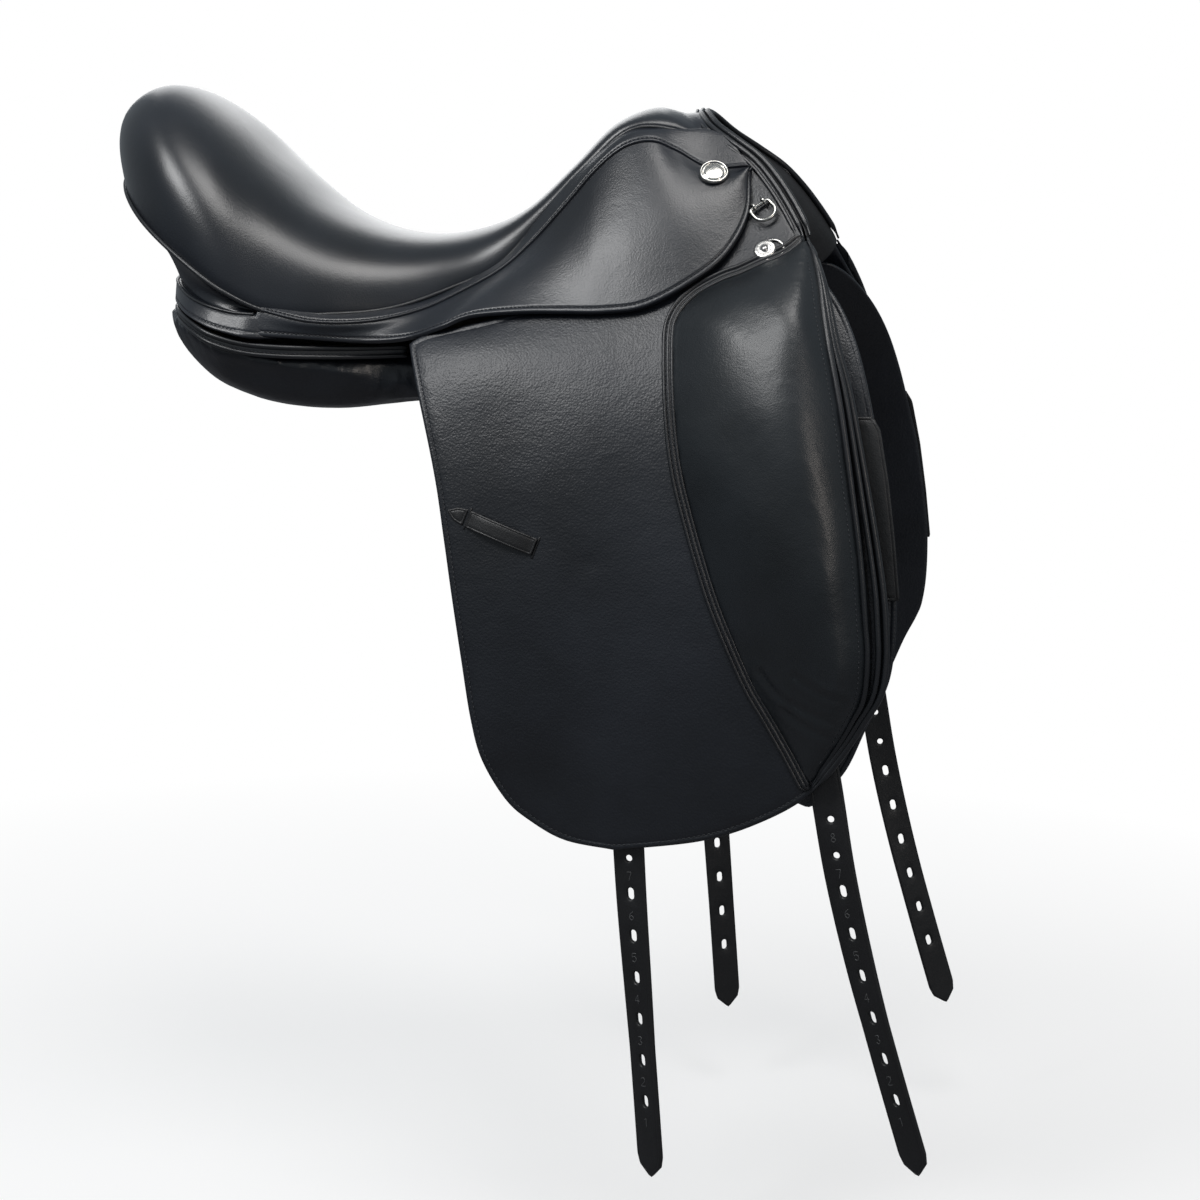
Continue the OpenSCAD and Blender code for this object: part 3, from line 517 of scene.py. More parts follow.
def move_points(ob, change):
    """Moves a mesh's points: change(points in mm, normals) gives the new points in mm."""
    co, no = read_mesh(ob.data)
    write_points(ob.data, change(co / MM, no) * MM)


CLOTH = {"quality": 6, "mass": 0.4, "tension_stiffness": 25, "compression_stiffness": 25, "shear_stiffness": 12,
         "bending_stiffness": 4, "use_pressure": True, "uniform_pressure_force": 4.0, "vertex_group_mass": "hold"}
CLOTH_FRAMES = 20


def soften(ob, hold, voxel, cap):
    """Remeshes a pad and fills it by cloth pressure; no point moves more than cap, nor where hold(points, normals)."""
    bpy.context.view_layer.objects.active = ob
    for o in bpy.context.selected_objects:
        o.select_set(False)
    ob.select_set(True)
    re = ob.modifiers.new("remesh", "REMESH")
    re.mode = "VOXEL"
    re.voxel_size = voxel * MM
    re.use_smooth_shade = True
    bpy.ops.object.modifier_apply(modifier=re.name)
    rest, normals = read_mesh(ob.data)
    group = ob.vertex_groups.new(name="hold")
    group.add(np.where(hold(rest / MM, normals))[0].tolist(), 1.0, "REPLACE")
    cloth = ob.modifiers.new("cloth", "CLOTH")
    for key, value in CLOTH.items():
        setattr(cloth.settings, key, value)
    cloth.settings.effector_weights.gravity = 0
    cloth.point_cache.frame_start = 1
    cloth.point_cache.frame_end = CLOTH_FRAMES
    for k in range(1, CLOTH_FRAMES + 1):
        bpy.context.scene.frame_set(k)
    move = read_mesh(ob.evaluated_get(bpy.context.evaluated_depsgraph_get()).data)[0] - rest
    size = np.linalg.norm(move, axis=1, keepdims=True)
    move *= np.minimum(1, cap * MM / np.maximum(size, 1e-9))
    ob.modifiers.remove(cloth)
    write_points(ob.data, rest + move)
    bpy.context.scene.frame_set(1)
    ob.vertex_groups.clear()
    fine = ob.modifiers.new("fine", "SUBSURF")
    fine.levels = fine.render_levels = 1
    bpy.ops.object.modifier_apply(modifier=fine.name)
    ob.data.polygons.foreach_set("use_smooth", [True] * len(ob.data.polygons))
    return ob


def soft_pair(ob, name, swap, bend=None):
    """Mirrors a finished right pad to the left and dresses both."""
    me = ob.data.copy()
    write_points(me, read_mesh(me)[0] * [1, -1, 1])
    me.flip_normals()
    me.update()
    for pad, (side_name, sign) in zip((ob, linked(bpy.data.objects.new(f"{name}_left", me))), SIDES):
        dress_side(pad, side_name, sign, swap, bend)


def lathe(profile, at, axis, sides=56):
    """A turned piece: profile is (radius, height) from the top centre out and down to the back."""
    z = unit(axis)
    x = unit(np.cross([0, 0, 1], z))
    y = np.cross(z, x)
    a = np.linspace(0, 2 * math.pi, sides, endpoint=False)
    rings = [arr(at) + r * (np.cos(a)[:, None] * x + np.sin(a)[:, None] * y) + h * z for r, h in profile]
    return np.vstack(rings), quads(len(rings), sides, wrap=True) + caps(len(rings), sides)


def across(path):
    """Left-hand normals of a 2-D path."""
    t = unit(np.gradient(arr(path), axis=0))
    return np.stack([-t[:, 1], t[:, 0]], -1)


def molding(path, place, profile, ends=4.0):
    """A sewn strip along a 2-D path: profile is a closed ring of (across, height)."""
    p = arr(path)
    n = across(p)
    s = lengths(p)
    k = np.clip(np.minimum(s, s[-1] - s) / ends, 0.12, 1) ** 0.5
    cols = [place(p[:, 0] + w * k * n[:, 0], p[:, 1] + w * k * n[:, 1], h * k) for w, h in profile]
    m = len(profile)
    return np.stack(cols, 1).reshape(-1, 3), quads(len(p), m, wrap=True) + caps(len(p), m)


SMALL_STITCH, FLAP_STITCH, BLOCK_STITCH = (3.2, 2.3, 0.36), (3.6, 2.5, 0.42), (3.4, 2.3, 0.34)


def mirror_loop(path):
    """The right half of a path from the centre plane, joined to its mirror on the left."""
    p = arr(path)
    return np.vstack([(p * [1, -1, 1])[::-1], p[1:] if abs(p[0][1]) < 1e-6 else p])


# ---------------------------------------------------------------- the saddle's surfaces

SPINE = arr([
    (-241, 188), (-247, 214), (-238, 236), (-215, 249), (-190, 246), (-158, 226), (-120, 191), (-80, 159), (-40, 141),
    (0, 134), (40, 138), (80, 153), (116, 184), (146, 214), (175, 227), (198, 223)])
SPINE = np.stack([SPINE[:, 0], 0 * SPINE[:, 0], SPINE[:, 1]], -1)
WELT = arr([
    (-243, 0, 186), (-238, -42, 180), (-222, -80, 165), (-196, -110, 143), (-160, -131, 117), (-124, -138, 93),
    (-88, -130, 77), (-48, -117, 76), (-8, -99, 80), (32, -82, 94), (70, -71, 113), (104, -64, 151), (136, -60, 185),
    (166, -56, 210), (200, -52, 209), (234, -46, 194)])


def seat(u, v, t=0.0):
    """The seat's surface at depth t: u from cantle to pommel, v from the left welt (-1) to the right one (1)."""
    u, v, t = np.broadcast_arrays(arr(u), arr(v), arr(t))
    s, w = spline(SPINE, u), spline(WELT, u)
    g = unit(spline(SPINE, u + 0.01) - spline(SPINE, u - 0.01))
    s = s + t[..., None] * np.stack([g[..., 2], 0 * u, -g[..., 0]], -1)
    w = w + t[..., None] * np.stack([0.55 * g[..., 2], 0.8 + 0 * u, -0.55 * np.abs(g[..., 0])], -1)
    a, e = np.pi / 2 * np.minimum(np.abs(v), 1), 2 / 2.3
    wide, drop = np.sin(a) ** e, 1 - np.maximum(np.cos(a), 0) ** e
    return np.stack([s[..., 0] + (w[..., 0] - s[..., 0]) * drop, np.sign(v) * w[..., 1] * wide,
                     s[..., 2] + (w[..., 2] - s[..., 2]) * drop], -1)


HINGE = arr([13, -125, 54])
TILT = math.atan(46 / 310)
ALONG = arr([math.cos(TILT), 0, math.sin(TILT)])
DOWN = arr([math.sin(TILT), 0, -math.cos(TILT)])
SPREAD, SPREAD_L = 68.0, 95.0


def slope(d):
    return SPREAD / SPREAD_L * np.exp(-np.maximum(arr(d), 0) / SPREAD_L)


def spread(d):
    """How far the flap's face stands out, d below the fold line."""
    return np.where(d > 0, SPREAD * (1 - np.exp(-np.maximum(d, 0) / SPREAD_L)), SPREAD / SPREAD_L * d)


def out_dir(d):
    return unit(arr([0, -1, 0]) - slope(d)[..., None] * DOWN)


def side(s, d, h=0.0):
    """A point on the flap: s along the fold line, d down from it, h outwards from the face."""
    s, d, h = np.broadcast_arrays(arr(s), arr(d), arr(h))
    down = d[..., None] * DOWN + spread(d)[..., None] * [0, -1, 0]
    return HINGE + s[..., None] * ALONG + down + h[..., None] * out_dir(d)


def bell(x, y, cx, cy, rx, ry):
    return np.exp(-((x - cx) / rx) ** 2 - ((y - cy) / ry) ** 2)


# height, middle (s, d) and reach (s, d) of each swell or hollow
SWELLS = ((3.2, 62, 24, 52, 34), (-1.2, 165, 26, 34, 40), (1.6, 110, 235, 70, 110), (-0.9, 66, 142, 30, 22),
          (-0.7, 124, 171, 9, 5))


def flap_face(x, y, h=0.0):
    """The flap's face with its soft swells: full over the panel at the top rear, hollow behind the block."""
    x, y = arr(x), arr(y)
    swell = 0.5 * np.sin(x * 0.05 + y * 0.021)
    for height, *place in SWELLS:
        swell = swell + height * bell(x, y, *place)
    return side(x, y, h + swell * np.clip((y + 4) / 14, 0, 1))


# ---------------------------------------------------------------- seat

U, V = np.meshgrid(np.linspace(0.004, 1, 84), np.linspace(-1, 1, 61), indexing="ij")


def seat_skin(t):
    """The seat's surface at depth t, with a lip that runs out under the pommel's piping."""
    g = seat(U, V, t)
    lip = arr([(208.5, 0, 223.6), (211.6, -18, 221.6), (222.5, -41, 211.8), (237, -54, 200.5)])
    end = spline(lip, np.abs(V[0]))
    end[:, 1] *= np.where(V[0] > 0, 1, -1)
    end = end + [0, 0, -t]
    return np.concatenate([g] + [(g[-1] * (1 - k) + end * k)[None] for k in (0.35, 0.7, 1.0)])


dress(add("seat_leather", *shell(seat_skin(0.0), seat_skin(2.4)), SEAT_LEATHER), ["seat_cover"])
fu, fv = np.meshgrid(np.linspace(0.06, 0.95, 40), np.linspace(-0.88, 0.88, 31), indexing="ij")
dress(add("seat_foam_pad", *shell(seat(fu, fv, 3.4), seat(fu, fv, 12.6)), FOAM), ["seat_foam"])
welt_line = mirror_loop(even(spline(WELT, np.linspace(0.003, 1, 400)) + [0, -0.7, -2.1], 3.0))
dress(add("seat_welt_piping", *tube(welt_line, 1.75, 10), WELT_LEATHER), ["seat_welt"])

# ---------------------------------------------------------------- skirts

SK_TOP = arr([
    (-98, -133, 79), (-60, -121, 74), (-20, -105, 75), (15, -90, 82), (45, -79, 96), (75, -70, 115), (98, -65, 143),
    (120, -62, 169), (143, -59, 191), (164, -57, 206), (185, -54.5, 208), (205, -52, 207), (221, -50.5, 207),
    (238, -55, 202)])
SK_SEAM = arr([
    (-98, -134.5, 77), (-60, -130, 68), (-20, -116, 68), (15, -102, 76), (43, -92, 89), (73, -84, 106), (97, -79, 127),
    (121, -75.5, 153), (143, -72.5, 178), (163, -70, 194), (183, -68.5, 198.5), (201, -66.5, 192), (226, -71, 179.5),
    (255, -71, 180)])
SK_LOW = arr([
    (-104, -141, 59), (-68, -132, 56), (-30, -122, 54), (8, -121, 57), (38, -127, 66), (60, -125, 74), (98, -127, 77),
    (132, -130, 77), (160, -132.5, 77), (190, -132.5, 81), (221, -125, 97), (245, -113, 117), (258.5, -94, 145),
    (258, -74, 176)])


def skirt(u, k, h=0.0):
    """The skirt's face: u from its rear to its front, k from the welt (0) over the seam (1) to the free edge (3)."""
    u, k, h = np.broadcast_arrays(arr(u), arr(k), arr(h))

    def face(u, k):
        top, seam, low = spline(SK_TOP, u), spline(SK_SEAM, u), spline(SK_LOW, u)
        swell = (4.5 * np.clip((u - 0.3) / 0.3, 0, 1))[..., None] * arr([0.0, -0.8, 0.6])
        mid = seam * 0.5 + low * 0.5 + swell
        lines = [2 * top - seam, top, seam, mid, low, 2 * low - mid]
        k = np.clip(k, -0.5, 3.4)
        i = np.clip(np.floor(k).astype(int), 0, 2)
        f = (k - i)[..., None]
        stack = np.stack(lines)
        return catmull(*(np.take_along_axis(stack, (i + n)[None, ..., None], 0)[0] for n in range(4)), f)

    p = face(u, k)
    n = unit(np.cross(face(u, k + 0.03) - face(u, k - 0.03), face(u + 0.004, k) - face(u - 0.004, k)))
    return p + h[..., None] * n


def inset(u, k1, mm):
    """The k that lies some millimetres inside the line k1."""
    return k1 - mm / (np.linalg.norm(skirt(u, k1) - skirt(u, k1 - 0.2), axis=-1) / 0.2)


FOLD_A, FOLD_B = arr([60, -123, 76]), arr([252, -84, 170])
fold_mid = (FOLD_A + FOLD_B) / 2
fold_down = unit(np.cross(unit(FOLD_B - FOLD_A), unit(np.cross([0, -0.75, -1], FOLD_B - FOLD_A))))
if fold_down[2] > 0:
    fold_down = -fold_down
SKIRT_BEND = ("skirt_*", fold_mid - 6 * fold_down, fold_mid + 16 * fold_down)


def skirt_piece(k0, k1, base, thick, groove, cols, edge):
    """A grid over the skirt from k0 to k1, base above its face, rounded and grooved along its low edge."""
    u = np.linspace(0, 1, 150)
    flat = [k0 + (inset(u, k1, edge[0]) - k0) * f for f in np.linspace(0, 1, cols)]
    k = np.stack(flat + [inset(u, k1, mm) for mm in edge[1:]], 1)
    uu = np.repeat(u[:, None], k.shape[1], 1)
    dist = np.broadcast_to(np.r_[np.full(cols - 1, 1e3), edge], k.shape)
    r = thick * 0.5
    e = np.clip(dist, 0, r)
    h = base - 0.9 * np.exp(-(uu / 0.03) ** 2) + np.sqrt(np.maximum(r * r - (r - e) ** 2, 0)) - r
    h = h - 0.55 * np.exp(-((dist - groove) / 0.7) ** 2)
    return shell(skirt(uu, k, h), skirt(uu, k, np.minimum(base - thick, h - 0.2)))


def skirt_thread(k1, mm, h, u0, u1):
    u = np.linspace(u0, u1, 700)
    k = inset(u, k1, mm)
    return stitches(skirt(u, k, h), unit(skirt(u, k, 1.0) - skirt(u, k)), *SMALL_STITCH)


EDGE = (9, 7.4, 6, 5.4, 4.8, 4.4, 4.0, 3.6, 3.0, 2.2, 1.5, 0.9, 0.45, 0.15, 0.0)
CRESCENT_EDGE = (5.4, 4.2, 3.4, 3.0, 2.6, 2.2, 1.7, 1.1, 0.6, 0.25, 0.0)
lower = skirt_piece(0.55, 3.0, 0.0, 3.0, 4.2, 16, EDGE)
pair("skirt_leather", lower, SKIRT_LEATHER, ["skirt_flap_*", "skirt_top_*"], SKIRT_BEND)
pair("skirt_crescent", skirt_piece(0.0, 1.0, 1.7, 1.9, 2.6, 7, CRESCENT_EDGE), SKIRT_LEATHER)
pair("skirt_stitching", skirt_thread(3.0, 4.2, -0.25, 0.02, 0.995), THREAD, (), SKIRT_BEND)
pair("crescent_stitching", skirt_thread(1.0, 2.6, 1.4, 0.01, 0.97), THREAD)

BADGE = arr([231, -78, 175])
BADGE_OUT = unit([0.14, -0.74, 0.64])
badge = lathe([
    (0.5, 3.1), (3.8, 3.0), (6.4, 2.7), (7.7, 2.3), (8.1, 1.8), (8.5, 1.8), (8.8, 2.9), (9.3, 3.3), (10.1, 3.1),
    (10.6, 2.3), (10.7, 1.2), (10.4, 0.2), (2.0, 0.0)], BADGE, BADGE_OUT)
pair("skirt_badge", badge, NICKEL, ["skirt_badges"])

# ---------------------------------------------------------------- flaps

REAR = [
    (1, 0.3), (12, 56), (18, 100), (20, 142), (21, 185), (22, 228), (23, 271), (27, 301), (40, 331), (55, 348),
    (79, 365), (115, 375.5)]
BOTTOM = [(115, 375.5), (180, 374.5), (228, 363), (262, 346), (290, 318)]
FRONT = [
    (290, 318), (303, 301), (317, 283), (323, 262), (326, 236), (327, 205), (325, 151), (320, 83), (314, 48), (306, 2)]
HEAD = [
    (306, 2), (300, -16), (294, -33), (285, -54), (275.5, -71.5), (264, -88.5), (250, -98), (234, -94), (214, -70),
    (200, -22), (180, -12), (100, -12), (56, -8), (30, -6), (12, -4), (1, 0.3)]
HEM = 4.3  # from the edge to the stitches
outline = np.vstack([smooth(REAR)[:-1], smooth(BOTTOM)[:-1], smooth(FRONT)[:-1], smooth(HEAD)[:-1]])
FLAP_BEND = ("flap_*", side(150, -8), side(150, 26))
head_rise = lambda y: np.interp(-arr(y), [39, 56, 72, 88, 105], [0, 2, 5.5, 7.2, 8.9])
flap = sheet(outline, lambda x, y, h: flap_face(x, y, arr(h) + head_rise(y)), 4.5, grooves=((HEM, 1.3, 0.5),), cell=6.0,
             round_r=2.0)
pair("flap_leather", flap, FLAP_LEATHER, ["flap_*", "flap_head_*"], FLAP_BEND)

hem = smooth(REAR + BOTTOM[1:], 2.0)
hem = hem - across(hem) * HEM
hem = hem[(hem[:, 1] > 3) & (hem[:, 0] < 263)]
pair("flap_stitching", stitches(*on(flap_face, hem, -0.25), *FLAP_STITCH), THREAD, (), FLAP_BEND)

# ---------------------------------------------------------------- knee blocks

SEAM = [
    (294.5, -32), (284, -25), (273, -21), (262, -18.5), (248, -14.3), (235.4, -11.8), (218.7, -5.8), (207.7, 1),
    (201, 8.4), (197, 18.3), (195.3, 39), (194.2, 66), (193.9, 94), (195.4, 121), (199.4, 149), (203.5, 174),
    (209.5, 206), (217, 235), (227, 268), (237.6, 293), (248.3, 319), (258, 345)]
FACE = [
    (296.5, -30.5), (300.5, -19), (304.5, 5), (306, 24), (308, 46), (311.5, 80.6), (313, 107.6), (313.8, 141),
    (314.2, 175), (313.7, 202), (312, 232.5), (310.4, 256), (304.3, 283), (294, 299), (281.7, 315.6), (269, 331),
    (261, 341)]
seam_line, face_line = smooth(SEAM, 4.0), smooth(FACE, 4.0)
RIDGE, BLOCK_HIGH = 0.74, 36


def block_height(x, y):
    """The block's height over the flap, full at RIDGE of the way from its seam to its front, and that fraction."""
    q = np.stack([arr(x), arr(y)], -1).reshape(-1, 2)
    near, far = distance([seam_line], q, False), distance([face_line], q, False)
    k, wide = near / (near + far + 1e-6), near + far
    up = np.where(k < RIDGE, BLOCK_HIGH * np.sin(np.pi / 2 * np.clip(k / RIDGE, 0, 1)) ** 0.9,
                  BLOCK_HIGH - 21 * ((np.clip(k, RIDGE, 1) - RIDGE) / (1 - RIDGE)) ** 1.8)
    size = np.clip(wide / 78, 0, 1) ** 0.6
    size = size * np.interp(q[:, 1], [-30, 20, 90, 200, 280, 345], [0.62, 0.86, 1, 0.97, 0.8, 0.45])
    return (0.6 + up * size).reshape(np.shape(x)), k.reshape(np.shape(x))


block_outline = np.vstack([seam_line[:-1], face_line[::-1]])


def block_mesh():
    v2, tris, edges, d = cut_pattern(block_outline, (), (1.5, 4.0), 6.0, 4.0, 1.0)
    h, k = block_height(v2[:, 0], v2[:, 1])
    top = side(v2[:, 0], v2[:, 1], h * 0.94)
    foot = side(v2[:, 0] + 5.0 * k ** 4, v2[:, 1], -3.5)
    return np.vstack([top, foot]), two_faced(tris, edges, len(v2))


def to_side(p):
    """The (s, d, h) of points near the flap's face, found step by step."""
    q = arr(p) - HINGE
    s, down = q @ ALONG, q @ DOWN
    d = down
    for _ in range(14):
        k = slope(d)
        root = np.sqrt(1 + k * k)
        h = (-q[:, 1] - spread(d)) * root
        d = 0.5 * d + 0.5 * (down + h * k / root)
    return s, d, h


def hold_block(p, n):
    return to_side(p)[2] < 1.0


CREASES = [[(236, 258), (248, 275), (266, 287), (287, 299)], [(250, 286), (264, 299), (281, 309)],
           [(262, 262), (276, 274), (293, 283)]]


def finish_block(p, n):
    s, d, h = to_side(p)
    lift = np.maximum(0.3 - h, 0)
    q = np.stack([s, d], -1)
    for line in CREASES:
        near = distance([smooth(line)], q, False)
        lift += (h > 4) * (-0.8 * np.exp(-(near / 2.0) ** 2) + 0.5 * np.exp(-((near - 5) / 2.8) ** 2))
    lift += (h > 4) * 0.5 * np.sin(s * 0.11 + 1.2 * np.sin(d * 0.03)) * np.sin(d * 0.045)
    return p + lift[:, None] * out_dir(d)


block = soften(add("knee_block_right", *block_mesh(), BLOCK_LEATHER), hold_block, 4.5, 3.0)
move_points(block, finish_block)
soft_pair(block, "knee_block", ["knee_block_*", "block_foam_*"], FLAP_BEND)

ridge = lambda c, top: [(c - 1.5, top * 0.45), (c - 0.85, top * 0.9), (c, top), (c + 0.85, top * 0.9)]
welt_ring = [(-3.4, 0.2)] + ridge(-1.7, 3.4) + [(-0.15, 1.4)] + ridge(1.4, 2.8) + [(2.95, 1.0)] + ridge(4.5, 2.5)
welt_ring += [(6.1, 0.9), (6.1, -0.6)]
pair("block_welt", molding(smooth(SEAM, 2.2), flap_face, welt_ring), WELT_LEATHER, (), FLAP_BEND)
line = smooth(SEAM, 2.0)
rows = [stitches(*on(flap_face, line + across(line) * w, h), *BLOCK_STITCH) for w, h in ((-0.15, 1.5), (2.95, 1.15))]
pair("block_welt_stitching", join(*rows), THREAD, (), FLAP_BEND)

face_top = smooth(FACE, 2.5)
hh = block_height(face_top[:, 0], face_top[:, 1])[0]
roll_1 = side(face_top[:, 0] + 0.6, face_top[:, 1], np.maximum(hh - 0.8, 2.0))
roll_2_line = smooth([
    (299, -24), (304, -8), (309, 14), (313.5, 48), (319, 83), (324, 151), (326, 205), (325, 236), (322, 262),
    (316, 283), (303, 300), (289, 317), (272, 335), (262, 344)], 2.5)
roll_2 = side(roll_2_line[:, 0], roll_2_line[:, 1], 3.4)
wall_mid = smooth([
    (297.5, -28), (303, -12), (307.5, 10), (311.5, 48), (316.5, 83), (320, 151), (321.5, 205), (320, 236),
    (317.5, 260), (311, 283), (299, 299.5), (286, 316), (270.5, 333), (261.5, 342.5)], 2.5)
wall_h = np.interp(wall_mid[:, 1], [-28, 10, 60, 250, 342], [3, 7, 9.5, 8.5, 3.5])
roll_mid = side(wall_mid[:, 0], wall_mid[:, 1], wall_h)
taper = lambda path, r: r * np.clip(np.minimum(np.arange(len(path)), np.arange(len(path))[::-1]) / 5, 0.4, 1)
edging = join(tube(roll_1, taper(roll_1, 2.2), 10), tube(roll_2, taper(roll_2, 2.7), 10),
              tube(roll_mid, taper(roll_mid, 2.1), 8))
pair("block_front_piping", edging, WELT_LEATHER, (), FLAP_BEND)


def drop_on(ob, points, out, lift):
    """Where lines through points along out first meet a piece from outside, raised by lift."""
    tree = BVHTree.FromObject(ob, bpy.context.evaluated_depsgraph_get())
    hits = []
    for p, o in zip(arr(points), arr(out)):
        hit = tree.ray_cast(Vector((p + 60 * o) * MM), Vector(-o), 0.2)[0]
        hits.append(arr(hit) / MM + lift * o if hit else p)
    return arr(hits)


line = smooth(FACE, 2.0)[8:-8] + [-4.4, 0]
out = out_dir(line[:, 1])
p = drop_on(block, side(line[:, 0], line[:, 1]), out, 0.1)
pair("block_front_stitching", stitches(p, out + 0.55 * ALONG, 3.6, 2.4, 0.36), THREAD, (), FLAP_BEND)

# ---------------------------------------------------------------- keepers

K0, K1 = arr([43, 131]), arr([83, 153])
KL = np.linalg.norm(K1 - K0)
KD = unit(K1 - K0)
KN = arr([-KD[1], KD[0]])


def keeper_face(x, y, h, arch=4.6):
    """x runs along the keeper from its rear slot, y across it; the band stands arch above the flap."""
    q = K0 + arr(x)[..., None] * KD + arr(y)[..., None] * KN
    k = np.clip(arr(x) / KL, 0, 1)
    return flap_face(q[..., 0], q[..., 1], arr(h) + arch * np.maximum(np.sin(np.pi * k), 0) ** 0.6)


band = sheet([(-3, -6.2), (KL + 4.5, -6.2), (KL + 4.5, 6.2), (-3, 6.2)], lambda x, y, h: keeper_face(x, y, h + 2.5),
             1.9, grooves=((1.5, 0.6, 0.25),), cell=2.2, step=1.2, round_r=0.8)
tip = sheet([(-5.5, -6), (-5.5, 6), (-13, 5), (-20.5, 0.4), (-13, -4.6)],
            lambda x, y, h: keeper_face(x, y, h + 1.1, 0), 1.4, grooves=((1.6, 0.6, 0.35),), cell=2.0, step=1.0,
            round_r=0.7)
slots = [tube(keeper_face(np.full(9, x), np.linspace(-7.6, 7.6, 9), 0.15, 0), 0.75, 8) for x in (-3.6, KL + 5.2)]
pair("keeper", join(band, tip, *slots), STRAP_LEATHER, ["keeper_*"], body="flap_*")

# ---------------------------------------------------------------- pommel, head piping, dee rings, nails

ARCH = [
    (214, 0, 224.5), (217, -18, 222.5), (228, -42, 212), (245.5, -57, 200), (263.5, -66, 187), (277.5, -76, 172),
    (290, -85, 155), (300.5, -95, 138), (303.5, -99.5, 131)]
arch = smooth(ARCH, 2.5)
sink = np.minimum(-arch[:, 1:2] / 12, 1)
rolls = [tube(line, taper(line, r), 10) for line, r in (
    (mirror_loop(arch), 2.2), (mirror_loop(arch + [-4.2, 0, 0.6] + sink * [-0.4, -1.4, -2.2]), 2.1),
    (mirror_loop(arch + [-8.2, 0, 0.2] + sink * [-0.4, -2.4, -4.2]), 1.5))]
dress(add("pommel_piping", *join(*rolls), WELT_LEATHER))
k = np.linspace(0, 1, 60)
front = spline(arr(ARCH), k) + [-1.2, 0, -2.0]
deep = spline([(248.5, 0, 178), (251, -16, 176), (257.5, -31, 168), (263, -41.5, 157), (267.5, -49.5, 145),
               (277.5, -61, 130), (287.5, -79, 107)], k)
under = deep + [-20, 1, -1]
under[:, 1] = np.minimum(under[:, 1], 0)
cols = [front * (1 - k) + deep * k + math.sin(math.pi * k) * arr([5, 0, 2]) for k in np.linspace(0, 1, 7)]
face = mirrored(np.stack(cols + [deep * (1 - k) + under * k for k in (0.3, 0.65, 1)], 1))
dress(add("pommel_facing_leather", *shell(face, face + [-1.7, 0, 1.3]), LINING), ["pommel_facing"])

HEAD_OUT = out_dir(-1.0)
NAIL = side(266.5, -27, 0.3)
nail = lathe([(0.4, 4.1), (1.6, 4.0), (2.1, 3.3), (2.3, 2.7), (4.6, 2.9), (6.6, 2.9), (7.6, 2.5), (8, 1.6), (7.8, 0.3),
              (2, 0.1)], NAIL, HEAD_OUT)
a = np.linspace(0, 2 * math.pi, 48, endpoint=False)
hx = unit(np.cross([0, 0, 1], HEAD_OUT))
hy = np.cross(HEAD_OUT, hx)
ring = side(271.3, -26.5, 1.0) + 8.6 * (np.cos(a)[:, None] * hx + np.sin(a)[:, None] * hy)
pair("point_nail", join(nail, tube(ring, 0.9, 8, closed=True)), BRUSHED, ["point_nails"])

DEE = side(264, -57, 5.6)
turn = math.radians(-138)
dx, dy = math.cos(turn) * hx + math.sin(turn) * hy, -math.sin(turn) * hx + math.cos(turn) * hy
w = 8.0  # half the ring's width
bow = [(math.cos(t) * w, 7 + math.sin(t) * w) for t in np.linspace(0, math.pi, 26)]
corner = [(-w, 4.5), (-w, 1.6), (-w + 0.6, 0.4), (-w + 1.8, 0)]
flat = corner + [(x, 0.0) for x in np.linspace(-w + 3, w - 3, 7)] + [(-x, y) for x, y in corner[::-1]]
loop = arr([DEE + x * dx + y * dy for x, y in bow + flat])
pair("dee_ring_wire", tube(loop, 1.3, 12, closed=True), NICKEL, ["dee_ring_*"], body="ring_*")
staple = []
for x in (-4, 4):
    arc = [DEE + x * dx + 3.2 * math.cos(t) * dy + 3.2 * math.sin(t) * HEAD_OUT for t in np.linspace(0, math.pi, 14)]
    arc = [arc[0] - 5.4 * HEAD_OUT] + arc + [arc[-1] - 5.4 * HEAD_OUT]
    staple.append(tube(even(arr(arc), 0.9), 0.9, 8))
pair("dee_staple", join(*staple), NICKEL, ["dee_staples"])

# ---------------------------------------------------------------- cantle

FACE_LOW = arr([
    (-201, 0, 105), (-199, -24, 104), (-194, -48, 101), (-185, -74, 98), (-172, -99, 93), (-156, -119, 86),
    (-138, -131, 80), (-119, -134, 75.5), (-102, -134, 74)])
BAND_LOW = arr([
    (-201, 0, 88), (-199, -26, 87), (-193, -52, 86), (-184, -80, 84), (-171, -108, 80), (-155, -130, 73),
    (-137, -139.5, 65), (-120, -141.5, 60), (-104, -141.5, 57)])


def cantle_out(a):
    return unit(np.stack([-(1.4 * (1 - a) + 0.1), -(0.2 + a) * np.clip(6 * a, 0, 1), 0 * a], -1))


def cantle_wrap(top, low, out, k, swell, thick):
    """Leather round the cantle between two lines, with columns at the fractions k, each pushed out by its swell."""
    face = mirrored(between(top, low, k) + swell[None, :, None] * out[:, None])
    return shell(face, face - thick * mirrored(out)[:, None])


a, k = np.linspace(0, 1, 46), np.linspace(0, 1, 14)
facing = cantle_wrap(spline(WELT, a * 0.375) + [0.5, 0.6, -3.5], spline(FACE_LOW, a * 0.97) + [1.5, 1.6, 1.0],
                     cantle_out(a), k, -4.5 * np.sin(np.pi * k), 2.4)
dress(add("cantle_facing_leather", *facing, SEAT_LEATHER), ["cantle_facing"])

